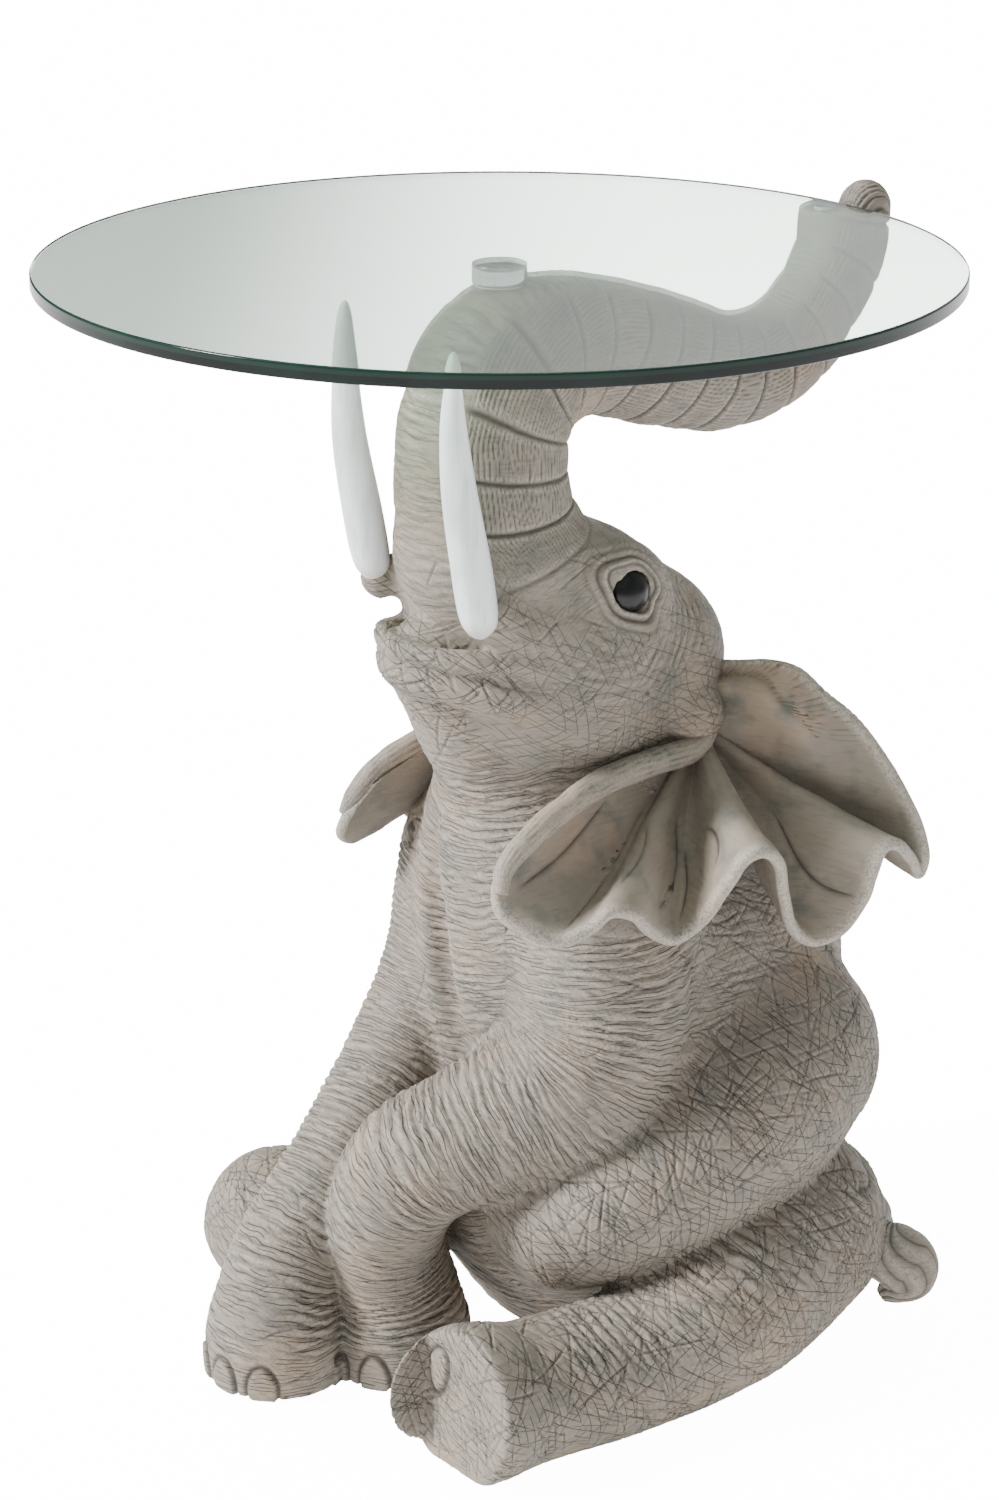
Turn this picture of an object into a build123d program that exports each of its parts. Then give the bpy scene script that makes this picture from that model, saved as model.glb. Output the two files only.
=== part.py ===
from build123d import *
import os

# A seated elephant table: a hollow resin casting carries a round glass top on its raised trunk.
# The casting is laid out about the stud axis (x = 0, y = 0), nose towards -Y, its left side at +X,
# floor at z = 0. Every piece is then shifted along Y by ROW_SHIFT so the box is centred.
# All lengths are millimetres.

# --- glass top and its fixing -------------------------------------------------------------
GLASS_RADIUS = 250.0
GLASS_THICKNESS = 8.0
GLASS_EDGE_BREAK = 1.0
GLASS_UNDERSIDE_Z = 637.0
DISC_RADIUS = 15.0
DISC_HEIGHT = 11.2
DISC_EDGE_BREAK = 0.6
WASHER_THICKNESS = 0.8
STUD_RADIUS = 4.0
STUD_RUNNING_CLEARANCE = 0.05
STUD_IN_DISC = 8.0
STUD_IN_INSERT = 20.0
INSERT_RADIUS = 6.0
INSERT_LENGTH = 24.0
BUMPER_RADIUS = 6.0
BUMPER_THICKNESS = 2.0
RIM_TO_FINGER_GAP = 0.8
FINGER_ABOVE_GLASS = 14.0

# --- casting ------------------------------------------------------------------------------
WALL = 8.0
PAD_THICKNESS = 2.0
PLUG_RADIUS = 20.0
PLUG_THICKNESS = 6.0
PLUG_LIP = 5.0
PLUG_LIP_THICKNESS = 3.0
ARMATURE_RADIUS = 4.0

# torso sections: height, centre y, half width, half depth
TORSO = [
    (PAD_THICKNESS, 96.0, 112.0, 108.0),
    (40.0, 100.0, 130.0, 124.0),
    (110.0, 99.0, 136.0, 130.0),
    (180.0, 94.0, 124.0, 126.0),
    (245.0, 78.0, 104.0, 116.0),
    (310.0, 52.0, 82.0, 86.0),
    (385.0, 46.0, 62.0, 68.0),
]
HEAD_CENTRE = (0.0, 60.0, 422.0)
HEAD_HALF = (68.0, 84.0, 68.0)
HAUNCH_CENTRE = (84.0, 96.0, 102.0)
HAUNCH_HALF = (82.0, 108.0, 92.0)
SHOULDER_CENTRE = (56.0, 20.0, 262.0)
SHOULDER_HALF = (54.0, 58.0, 76.0)
HEAD_WALL = 20.0
HAUNCH_WALL = 14.0
LEG_WALL = 11.0

# limb, sheath and trunk centrelines: x, y, z, radius (sections square to the line)
FRONT_LEG_RIGHT = [
    (-52.0, 18.0, 285.0, 40.0),
    (-54.0, 10.0, 225.0, 40.0),
    (-53.0, -22.0, 170.0, 37.0),
    (-48.0, -62.0, 132.0, 34.0),
    (-43.0, -110.0, 86.0, 34.0),
    (-40.0, -134.0, 36.0, 38.0),
]
FRONT_LEG_LEFT = [
    (72.0, 10.0, 280.0, 46.0),
    (74.0, 4.0, 222.0, 45.0),
    (58.0, -32.0, 184.0, 40.0),
    (30.0, -72.0, 150.0, 37.0),
    (6.0, -84.0, 106.0, 34.0),
    (-5.0, -76.0, 66.0, 33.0),
    (-6.0, -72.0, 34.0, 36.0),
]
FOOT_HEIGHT = 36.0
FOOT_SPREAD = 3.0
HIND_LEG = [
    (116.0, -122.0, 38.5, 38.0),
    (119.0, -84.0, 37.0, 40.0),
    (131.0, -8.0, 38.0, 40.0),
    (132.0, 60.0, 54.0, 53.0),
    (110.0, 120.0, 70.0, 64.0),
]
JAW = [
    (0.0, 14.0, 402.0, 50.0),
    (0.0, -28.0, 419.0, 36.0),
    (0.0, -68.0, 439.0, 15.0),
]
TUSK_SHEATH = [
    (34.0, 6.0, 432.0, 36.0),
    (44.0, -24.0, 449.0, 22.0),
    (47.0, -46.0, 467.0, 13.5),
]
TRUNK_RISE = [
    (0.0, 18.0, 440.0, 66.0),
    (0.0, -6.0, 492.0, 54.0),
    (0.0, -13.0, 534.0, 47.0),
    (0.0, -5.0, 576.0, 45.0),
]
TRUNK_BEND_CENTRE = (0.0, 2.0, 580.0)
TRUNK_BEND_RADIUS = 47.0
TRUNK_REACH = [
    (0.0, -2.0, 584.0, 42.0),
    (0.0, 32.0, 590.0, 36.0),
    (0.0, 66.0, 587.0, 34.0),
    (0.0, 112.0, 572.0, 35.0),
    (0.0, 162.0, 557.0, 30.0),
    (0.0, 206.0, 562.0, 27.0),
    (0.0, 238.0, 584.0, 25.5),
    (0.0, 254.0, 612.0, 24.5),
]
TRUNK_JOINT_Z = 512.0
TRUNK_END_BEHIND_RIM = 7.0
TRUNK_END_RADIUS = 24.0

# separately moulded pieces
TUSK = [
    (43.0, -33.0, 443.0, 7.0),
    (47.0, -47.0, 466.0, 9.5),
    (48.0, -60.0, 503.0, 10.5),
    (48.0, -67.0, 545.0, 9.0),
    (47.0, -69.0, 582.0, 6.0),
    (47.0, -68.5, 607.0, 1.6),
]
EYE_CENTRE = (57.0, 43.0, 465.0)
# the head tips to its left: right-hand features sit higher by twice this share of their offset
HEAD_TIP = 0.11
EYE_RADIUS = 10.0
TAIL = [
    (40.0, 210.0, 74.0, 15.0),
    (80.0, 212.0, 66.0, 15.0),
    (116.0, 202.0, 62.0, 15.0),
    (146.0, 190.0, 56.0, 15.0),
    (156.0, 190.0, 42.0, 14.0),
    (147.0, 192.0, 28.0, 9.0),
]
EAR_THICKNESS = 7.0
# left ear front surface: rows run from the root to the rim, columns from front to back
EAR_GRID = [
    [
        (54.0, 0.0, 390.0),
        (60.0, 24.0, 384.0),
        (62.0, 52.0, 386.0),
        (60.0, 80.0, 390.0),
        (52.0, 104.0, 398.0),
    ],
    [
        (66.0, -24.0, 364.0),
        (80.0, 12.0, 350.0),
        (92.0, 50.0, 348.0),
        (94.0, 92.0, 364.0),
        (82.0, 126.0, 394.0),
    ],
    [
        (74.0, -46.0, 344.0),
        (100.0, -6.0, 322.0),
        (120.0, 42.0, 322.0),
        (126.0, 98.0, 328.0),
        (124.0, 148.0, 372.0),
    ],
    [
        (80.0, -66.0, 318.0),
        (114.0, -26.0, 304.0),
        (138.0, 42.0, 304.0),
        (142.0, 110.0, 286.0),
        (158.0, 170.0, 316.0),
    ],
]
RIGHT_EAR_SHIFT = (10.0, 13.0, -4.0)
PAD_RADIUS = 24.0
RUMP_PAD_RADIUS = 30.0
RUMP_PAD_Y = 168.0
PLUG_Y = 88.0

# --- derived ------------------------------------------------------------------------------
DISC_UNDERSIDE_Z = GLASS_UNDERSIDE_Z - DISC_HEIGHT
SEAT_Z = DISC_UNDERSIDE_Z - WASHER_THICKNESS
LEDGE_Z = GLASS_UNDERSIDE_Z - BUMPER_THICKNESS
FINGER_TOP_Z = GLASS_UNDERSIDE_Z + GLASS_THICKNESS + FINGER_ABOVE_GLASS
FINGER_FACE_Y = GLASS_RADIUS + RIM_TO_FINGER_GAP
BUMPER_Y = GLASS_RADIUS - BUMPER_RADIUS - 3.0
TRUNK_END_Y = GLASS_RADIUS + TRUNK_END_BEHIND_RIM
ROW_SHIFT = -(TRUNK_END_Y + TRUNK_END_RADIUS - GLASS_RADIUS) / 2.0


def mirrored(points, tip=0.0):
    """Return the centreline of the opposite side, raised where the head tips."""
    return [(-p[0], p[1], p[2] + 2.0 * tip * p[0]) + tuple(p[3:]) for p in points]


def limb(points, first_dir=None, last_dir=None):
    """Loft circles set square to a centreline of (x, y, z, radius)."""
    sections = []
    for i, (x, y, z, r) in enumerate(points):
        before = points[max(i - 1, 0)]
        after = points[min(i + 1, len(points) - 1)]
        run = Vector(after[0] - before[0], after[1] - before[1], after[2] - before[2])
        if i == 0 and first_dir:
            run = Vector(*first_dir)
        if i == len(points) - 1 and last_dir:
            run = Vector(*last_dir)
        side = Vector(0, run.Z, -run.Y)
        if abs(run.X) > run.length * 0.8:
            side = Vector(-run.Z, 0, run.X)
        plane = Plane(origin=(x, y, z), x_dir=side, z_dir=run)
        sections.append(plane * Circle(r))
    return loft(sections)


def ellipsoid(centre, half):
    """Return an ellipsoid with its axes along X, Y and Z."""
    ball = scale(Sphere(1.0), by=half)
    return Pos(*centre) * ball


def torso_body(inset, low, high):
    """Loft the torso, drawn in by the inset, between two heights."""
    sections = []
    for z, y, half_x, half_y in TORSO:
        plane = Plane(origin=(0, y, z), z_dir=(0, 0, 1))
        sections.append(plane * Ellipse(half_x - inset, half_y - inset))
    body = loft(sections)
    keep = Pos(0, 0, (low + high) / 2) * Box(600, 600, high - low)
    return body & keep


def foot(x, y, radius):
    """Return a flared foot standing on the pad plane."""
    low = Plane(origin=(x, y, PAD_THICKNESS)) * Circle(radius + FOOT_SPREAD)
    high = Plane(origin=(x, y, FOOT_HEIGHT)) * Circle(radius)
    return loft([low, high])


def front_leg(points):
    """Return one front leg with its foot."""
    x, y, z, r = points[-1]
    return limb(points, last_dir=(0, 0, -1)) + foot(x, y, r)


def trunk_tip():
    """Return the cut trunk end: a ledge below the rim and a finger standing beside it."""
    start = Plane(origin=(0, TRUNK_REACH[-1][1], TRUNK_REACH[-1][2]), z_dir=(0, 0.35, 1))
    end = Plane(origin=(0, TRUNK_END_Y, LEDGE_Z), z_dir=(0, 0, 1))
    stem = loft([start * Circle(TRUNK_REACH[-1][3]), end * Circle(TRUNK_END_RADIUS)])
    height = FINGER_TOP_Z - LEDGE_Z
    post = Pos(0, TRUNK_END_Y, LEDGE_Z + height / 2) * Cylinder(TRUNK_END_RADIUS, height)
    outer = Pos(0, FINGER_FACE_Y + 50, LEDGE_Z + height / 2) * Box(200, 100, height)
    finger = post & outer
    return stem + finger


def ear(sign):
    """Return one ear as a curved sheet of even thickness."""
    dx, dy, dz = RIGHT_EAR_SHIFT if sign < 0 else (0.0, 0.0, 0.0)
    rows = [[Vector(sign * x + dx, y + dy, z + dz) for x, y, z in row] for row in EAR_GRID]
    sheet = Face.make_surface_from_array_of_points(rows, tol=0.5, min_deg=2, max_deg=3)
    direction = sheet.normal_at(sheet.center())
    depth = EAR_THICKNESS if direction.Y > 0 or direction.Z < 0 else -EAR_THICKNESS
    return Solid.thicken(sheet, depth)


def armature():
    """Return the steel rod bent through the trunk."""
    path = Spline([(0, -4, 478), (0, -10, 520), (0, -9, 548), (0, 10, 577), (0, 50, 586),
                   (0, 112, 571), (0, 162, 557), (0, 208, 564), (0, 236, 588)])
    start = Plane(origin=path @ 0, z_dir=path % 0)
    return sweep(start * Circle(ARMATURE_RADIUS), path=path)


def insert_bush():
    """Return the brass insert under the seat."""
    body = Pos(0, 0, SEAT_Z - INSERT_LENGTH / 2) * Cylinder(INSERT_RADIUS, INSERT_LENGTH)
    bore = Pos(0, 0, SEAT_Z - STUD_IN_INSERT / 2) * Cylinder(STUD_RADIUS, STUD_IN_INSERT)
    return body - bore


def stud():
    """Return the stud held in the insert."""
    low = SEAT_Z - STUD_IN_INSERT
    high = DISC_UNDERSIDE_Z + STUD_IN_DISC
    return Pos(0, 0, (low + high) / 2) * Cylinder(STUD_RADIUS, high - low)


def washer():
    """Return the thin washer between seat and disc."""
    middle = SEAT_Z + WASHER_THICKNESS / 2
    body = Pos(0, 0, middle) * Cylinder(DISC_RADIUS - 1.0, WASHER_THICKNESS)
    hole = Pos(0, 0, middle) * Cylinder(STUD_RADIUS + STUD_RUNNING_CLEARANCE, WASHER_THICKNESS)
    return body - hole


def disc():
    """Return the metal disc bonded under the glass, with its blind bore."""
    depth = STUD_IN_DISC + 0.6
    body = Pos(0, 0, DISC_UNDERSIDE_Z + DISC_HEIGHT / 2) * Cylinder(DISC_RADIUS, DISC_HEIGHT)
    body = chamfer(body.edges().filter_by(GeomType.CIRCLE), DISC_EDGE_BREAK)
    radius = STUD_RADIUS + STUD_RUNNING_CLEARANCE
    bore = Pos(0, 0, DISC_UNDERSIDE_Z + depth / 2) * Cylinder(radius, depth)
    return body - bore


def glass():
    """Return the round glass top."""
    plate = Pos(0, 0, GLASS_UNDERSIDE_Z + GLASS_THICKNESS / 2) * Cylinder(GLASS_RADIUS, GLASS_THICKNESS)
    return chamfer(plate.edges().filter_by(GeomType.CIRCLE), GLASS_EDGE_BREAK)


def base_plug():
    """Return the plug that closes the casting's drain hole from below."""
    lip = Pos(0, PLUG_Y, PAD_THICKNESS + PLUG_LIP_THICKNESS / 2)
    low = lip * Cylinder(PLUG_RADIUS + PLUG_LIP, PLUG_LIP_THICKNESS)
    neck = Pos(0, PLUG_Y, PAD_THICKNESS + PLUG_LIP_THICKNESS + PLUG_THICKNESS / 2)
    return low + neck * Cylinder(PLUG_RADIUS, PLUG_THICKNESS)


def body_outside():
    """Return the body casting's outer form, from the pad plane to the trunk joint."""
    body = torso_body(0.0, PAD_THICKNESS, TORSO[-1][0])
    body = body + ellipsoid(HEAD_CENTRE, HEAD_HALF)
    for side in (1.0, -1.0):
        centre = (side * HAUNCH_CENTRE[0],) + HAUNCH_CENTRE[1:]
        body = body + ellipsoid(centre, HAUNCH_HALF)
        centre = (side * SHOULDER_CENTRE[0],) + SHOULDER_CENTRE[1:]
        body = body + ellipsoid(centre, SHOULDER_HALF)
    body = body + limb(HIND_LEG, first_dir=(0, 1, 0)) + limb(mirrored(HIND_LEG), first_dir=(0, 1, 0))
    body = body + front_leg(FRONT_LEG_RIGHT) + front_leg(FRONT_LEG_LEFT)
    body = body + limb(JAW) + limb(TUSK_SHEATH) + limb(mirrored(TUSK_SHEATH, HEAD_TIP)) + limb(TRUNK_RISE)
    height = TRUNK_JOINT_Z - PAD_THICKNESS
    return body & (Pos(0, 0, PAD_THICKNESS + height / 2) * Box(900, 900, height))


def trunk_outside():
    """Return the raised trunk from the glued joint to the finger, with the flat seat for the disc."""
    trunk = limb(TRUNK_RISE) + Pos(*TRUNK_BEND_CENTRE) * Sphere(TRUNK_BEND_RADIUS)
    trunk = trunk + limb(TRUNK_REACH, first_dir=(0, 1, 0), last_dir=(0, 0.35, 1)) + trunk_tip()
    trunk = trunk & (Pos(0, 0, TRUNK_JOINT_Z + 200) * Box(900, 900, 400))
    return trunk - Pos(0, 0, SEAT_Z + 5) * Box(60, 36, 10)


def cavity():
    """Return the hollow inside the torso and head."""
    low = PAD_THICKNESS + WALL
    torso = torso_body(WALL, low, TORSO[-1][0])
    hollow = torso + ellipsoid(HEAD_CENTRE, tuple(h - HEAD_WALL for h in HEAD_HALF))
    thin_leg = [(x, y, z, r - LEG_WALL) for x, y, z, r in HIND_LEG[1:]]
    for side in (1.0, -1.0):
        centre = (side * HAUNCH_CENTRE[0],) + HAUNCH_CENTRE[1:]
        hollow = hollow + ellipsoid(centre, tuple(h - HAUNCH_WALL for h in HAUNCH_HALF))
        leg = thin_leg if side > 0 else mirrored(thin_leg)
        hollow = hollow + limb(leg, first_dir=(0, 1, 0))
    return hollow


def pads():
    """Return each felt pad by name, stuck under a foot or the rump."""
    places = {
        "pad_front_right": (FRONT_LEG_RIGHT[-1][0], FRONT_LEG_RIGHT[-1][1], PAD_RADIUS),
        "pad_front_left": (FRONT_LEG_LEFT[-1][0], FRONT_LEG_LEFT[-1][1], PAD_RADIUS),
        "pad_hind_right": (-HIND_LEG[2][0] + 6.0, HIND_LEG[1][1] + 34.0, PAD_RADIUS - 12.0),
        "pad_hind_left": (HIND_LEG[2][0] - 6.0, HIND_LEG[1][1] + 34.0, PAD_RADIUS - 12.0),
        "pad_rump": (0.0, RUMP_PAD_Y, RUMP_PAD_RADIUS),
    }
    made = {}
    for name, (x, y, radius) in places.items():
        made[name] = Pos(x, y, PAD_THICKNESS / 2) * Cylinder(radius, PAD_THICKNESS)
    return made


def build():
    """Return every piece by node name, before the shift into the row frame."""
    pieces = {
        "glass_top": glass(),
        "glass_disc": disc(),
        "disc_washer": washer(),
        "boss_stud": stud(),
        "threaded_insert": insert_bush(),
        "trunk_armature": armature(),
        "rim_bumper": Pos(0, BUMPER_Y, LEDGE_Z + BUMPER_THICKNESS / 2)
        * Cylinder(BUMPER_RADIUS, BUMPER_THICKNESS),
        "base_plug": base_plug(),
        "left_tusk": limb(TUSK),
        "right_tusk": limb(mirrored(TUSK, HEAD_TIP)),
        "left_eye": Pos(*EYE_CENTRE) * Sphere(EYE_RADIUS),
        "right_eye": Pos(*mirrored([EYE_CENTRE], HEAD_TIP)[0]) * Sphere(EYE_RADIUS),
        "left_ear": ear(1.0),
        "right_ear": ear(-1.0),
        "tail": limb(TAIL),
    }
    pieces.update(pads())
    shell = body_outside() - cavity()
    for name in ["left_ear", "right_ear", "left_tusk", "right_tusk", "left_eye", "right_eye", "tail",
                 "trunk_armature", "base_plug"]:
        shell = shell - pieces[name]
    trunk = trunk_outside()
    for name in ["threaded_insert", "trunk_armature", "boss_stud"]:
        trunk = trunk - pieces[name]
    # an ear can cut a loose chip off the shoulder, which no mould would make
    pieces["body_casting"] = max(shell.solids(), key=lambda solid: solid.volume)
    pieces["trunk_casting"] = trunk
    return pieces


def main():
    """Build every piece, shift it into the row frame and export it."""
    os.makedirs("parts", exist_ok=True)
    for name, shape in build().items():
        export_step(Pos(0, ROW_SHIFT, 0) * shape, "parts/" + name + ".step")


main()
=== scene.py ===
import logging
import math
from dataclasses import dataclass
from enum import Enum

import bpy
import numpy as np
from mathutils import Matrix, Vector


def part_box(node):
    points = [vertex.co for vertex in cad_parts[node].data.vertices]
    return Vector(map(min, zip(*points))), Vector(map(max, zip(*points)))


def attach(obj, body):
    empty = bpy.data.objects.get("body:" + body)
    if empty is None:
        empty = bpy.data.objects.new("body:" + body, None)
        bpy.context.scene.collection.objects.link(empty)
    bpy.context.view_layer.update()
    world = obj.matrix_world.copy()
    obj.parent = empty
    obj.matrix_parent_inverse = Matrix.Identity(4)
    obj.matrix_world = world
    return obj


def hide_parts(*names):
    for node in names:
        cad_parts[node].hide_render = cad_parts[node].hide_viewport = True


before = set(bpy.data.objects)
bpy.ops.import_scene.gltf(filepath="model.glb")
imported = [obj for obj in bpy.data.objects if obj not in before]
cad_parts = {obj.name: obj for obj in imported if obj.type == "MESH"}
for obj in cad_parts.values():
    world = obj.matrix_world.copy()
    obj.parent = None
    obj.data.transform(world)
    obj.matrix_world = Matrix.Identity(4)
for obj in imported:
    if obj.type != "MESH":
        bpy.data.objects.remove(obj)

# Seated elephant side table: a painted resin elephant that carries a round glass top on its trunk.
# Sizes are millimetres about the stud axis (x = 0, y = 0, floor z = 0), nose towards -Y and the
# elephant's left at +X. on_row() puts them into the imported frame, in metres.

import openvdb
from mathutils import Vector

LOG = logging.getLogger("elephant_table")
MM = 0.001
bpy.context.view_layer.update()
DISC_LOW, DISC_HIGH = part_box("glass_disc")
STUD_Y = (DISC_LOW.y + DISC_HIGH.y) / 2 / MM
FLOOR_LIFT = 2.0
HEAD_TIP = 0.11
Array = np.ndarray


class Body(Enum):
    """The moving bodies that pieces ride on."""

    ELEPHANT = "elephant"
    TOP = "top"


class Side(Enum):
    """The elephant's own left and right."""

    LEFT = 1.0
    RIGHT = -1.0

    @property
    def word(self) -> str:
        """The name used in piece names."""
        return self.name.lower()


# --- numbers and noise ---------------------------------------------------------------------


def on_row(points: Array) -> Array:
    """Move points from the stud axis in millimetres to the row frame in metres.

    Args:
        points: Rows of x, y, z in millimetres.

    Returns:
        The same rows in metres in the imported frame.
    """
    return (np.asarray(points, float) + np.array([0.0, STUD_Y, 0.0])) * MM


def unit(vectors: Array) -> Array:
    """Return vectors scaled to length one."""
    return vectors / np.maximum(np.linalg.norm(vectors, axis=-1, keepdims=True), 1e-9)


def ease(low: float, high: float, values: Array) -> Array:
    """Return a smooth step from 0 at low to 1 at high; low may be above high."""
    t = np.clip((values - low) / (high - low), 0.0, 1.0)
    return t * t * (3.0 - 2.0 * t)


def noise(points: Array, cell: float, seed: int) -> Array:
    """Return smooth value noise between -1 and 1.

    Args:
        points: Rows of x, y, z in millimetres.
        cell: Size of one blotch in millimetres.
        seed: Picks the pattern.

    Returns:
        One value for each row.
    """
    q = points / cell + 13.7 * seed
    base = np.floor(q).astype(np.int64)
    f = (q - base).astype(np.float32)
    f = f * f * (3.0 - 2.0 * f)
    total = np.zeros(len(points), np.float32)
    for dx in (0, 1):
        for dy in (0, 1):
            for dz in (0, 1):
                h = (base[:, 0] + dx) * 73856093 ^ (base[:, 1] + dy) * 19349663
                h = h ^ (base[:, 2] + dz) * 83492791 ^ seed * 2654435761
                h = (h ^ (h >> 13)) * 1274126177
                value = ((h ^ (h >> 16)) & 0xFFFF).astype(np.float32) / 32767.5 - 1.0
                weight = f[:, 0] if dx else 1.0 - f[:, 0]
                weight = weight * (f[:, 1] if dy else 1.0 - f[:, 1])
                weight = weight * (f[:, 2] if dz else 1.0 - f[:, 2])
                total += weight * value
    return total


def through(stations: Array, count: int) -> Array:
    """Run a Catmull-Rom curve through stations of any width.

    Args:
        stations: Rows of values to pass through.
        count: Number of rows wanted.

    Returns:
        The resampled rows.
    """
    p = np.asarray(stations, float)
    p = np.vstack([2 * p[0] - p[1], p, 2 * p[-1] - p[-2]])
    t = np.linspace(0.0, len(p) - 3 - 1e-6, count)
    i = t.astype(int)
    f = (t - i)[:, None]
    a, b, c, d = p[i], p[i + 1], p[i + 2], p[i + 3]
    return 0.5 * (2 * b + (c - a) * f + (2 * a - 5 * b + 4 * c - d) * f**2 + (3 * b - a - 3 * c + d) * f**3)


def to_side(points: Array, side: Side) -> Array:
    """Carry left-hand points of the head to a side; the head tips, so its right side sits higher."""
    points = np.array(points, float)
    if side is Side.RIGHT:
        points[..., 2] += 2.0 * HEAD_TIP * points[..., 0]
        points[..., 0] *= -1.0
    return points


# --- solid forms, as distance fields -------------------------------------------------------


@dataclass(frozen=True)
class Chain:
    """A round-sectioned limb through stations of x, y, z, radius."""

    stations: tuple
    steps: int = 30

    def curve(self) -> Array:
        """Return the resampled centreline with radii."""
        return through(np.array(self.stations), self.steps)

    def mirrored(self, tip: float = 0.0) -> "Chain":
        """Return the limb of the other side, raised by twice tip times its offset."""
        rows = tuple((-x, y, z + 2.0 * tip * x, radius) for x, y, z, radius in self.stations)
        return Chain(rows, self.steps)

    def locate(self, points: Array, reach: float = 14.0) -> dict:
        """Find where points lie along the limb.

        Args:
            points: Rows of x, y, z.
            reach: Points farther outside the limb's box than this are skipped.

        Returns:
            gap to the limb's surface, distance along it, unit axis and offset from the axis.
        """
        curve = self.curve()
        low = curve[:, :3].min(0) - curve[:, 3].max() - reach
        high = curve[:, :3].max(0) + curve[:, 3].max() + reach
        near = np.flatnonzero(((points > low) & (points < high)).all(1))
        p = points[near]
        gap = np.full(len(p), 1e3)
        along = np.zeros(len(p))
        steps = np.linalg.norm(np.diff(curve[:, :3], axis=0), axis=1)
        run_at = np.concatenate([[0.0], np.cumsum(steps)])
        for a, b, start, length in zip(curve[:-1], curve[1:], run_at, steps):
            run = b[:3] - a[:3]
            h = np.clip((p - a[:3]) @ run / length**2, 0.0, 1.0)
            this = np.linalg.norm(p - a[:3] - h[:, None] * run, axis=1) - (a[3] + (b[3] - a[3]) * h)
            better = this < gap
            gap[better] = this[better]
            along[better] = start + h[better] * length
        ahead = unit(np.gradient(curve[:, :3], run_at, axis=0))
        axis, offset = np.zeros((len(p), 3)), np.zeros((len(p), 3))
        for _ in range(9):
            for n in range(3):
                axis[:, n] = np.interp(along, run_at, ahead[:, n])
                offset[:, n] = p[:, n] - np.interp(along, run_at, curve[:, n])
            axis = unit(axis)
            slip = np.einsum("ij,ij->i", offset, axis)
            offset -= slip[:, None] * axis
            along = np.clip(along + 0.6 * slip, 0.0, run_at[-1])
        found = {"gap": np.full(len(points), 1e3), "along": np.zeros(len(points))}
        found["axis"] = np.tile([0.0, 0.0, 1.0], (len(points), 1))
        found["offset"] = np.zeros((len(points), 3))
        for key, value in (("gap", gap), ("along", along), ("axis", axis), ("offset", offset)):
            found[key][near] = value
        return found


@dataclass(frozen=True)
class Egg:
    """An ellipsoid with centre and half sizes, pitched about X and turned about Z in degrees."""

    centre: tuple
    half: tuple
    pitch: float = 0.0
    turn: float = 0.0

    def mirrored(self, tip: float = 0.0) -> "Egg":
        """Return the egg of the other side, raised by twice tip times its offset."""
        x, y, z = self.centre
        return Egg((-x, y, z + 2.0 * tip * x), self.half, self.pitch, -self.turn)

    def local(self, x: Array, y: Array, z: Array) -> tuple:
        """Return coordinates along the egg's own axes."""
        x, y, z = x - self.centre[0], y - self.centre[1], z - self.centre[2]
        c, s = math.cos(math.radians(self.turn)), math.sin(math.radians(self.turn))
        x, y = c * x + s * y, c * y - s * x
        c, s = math.cos(math.radians(self.pitch)), math.sin(math.radians(self.pitch))
        return x, c * y + s * z, c * z - s * y

    def distance(self, x: Array, y: Array, z: Array) -> Array:
        """Return the approximate signed distance."""
        x, y, z = self.local(x, y, z)
        a, b, c = self.half
        k0 = np.sqrt((x / a) ** 2 + (y / b) ** 2 + (z / c) ** 2)
        k1 = np.sqrt((x / a**2) ** 2 + (y / b**2) ** 2 + (z / c**2) ** 2)
        return k0 * (k0 - 1.0) / np.maximum(k1, 1e-6)


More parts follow.
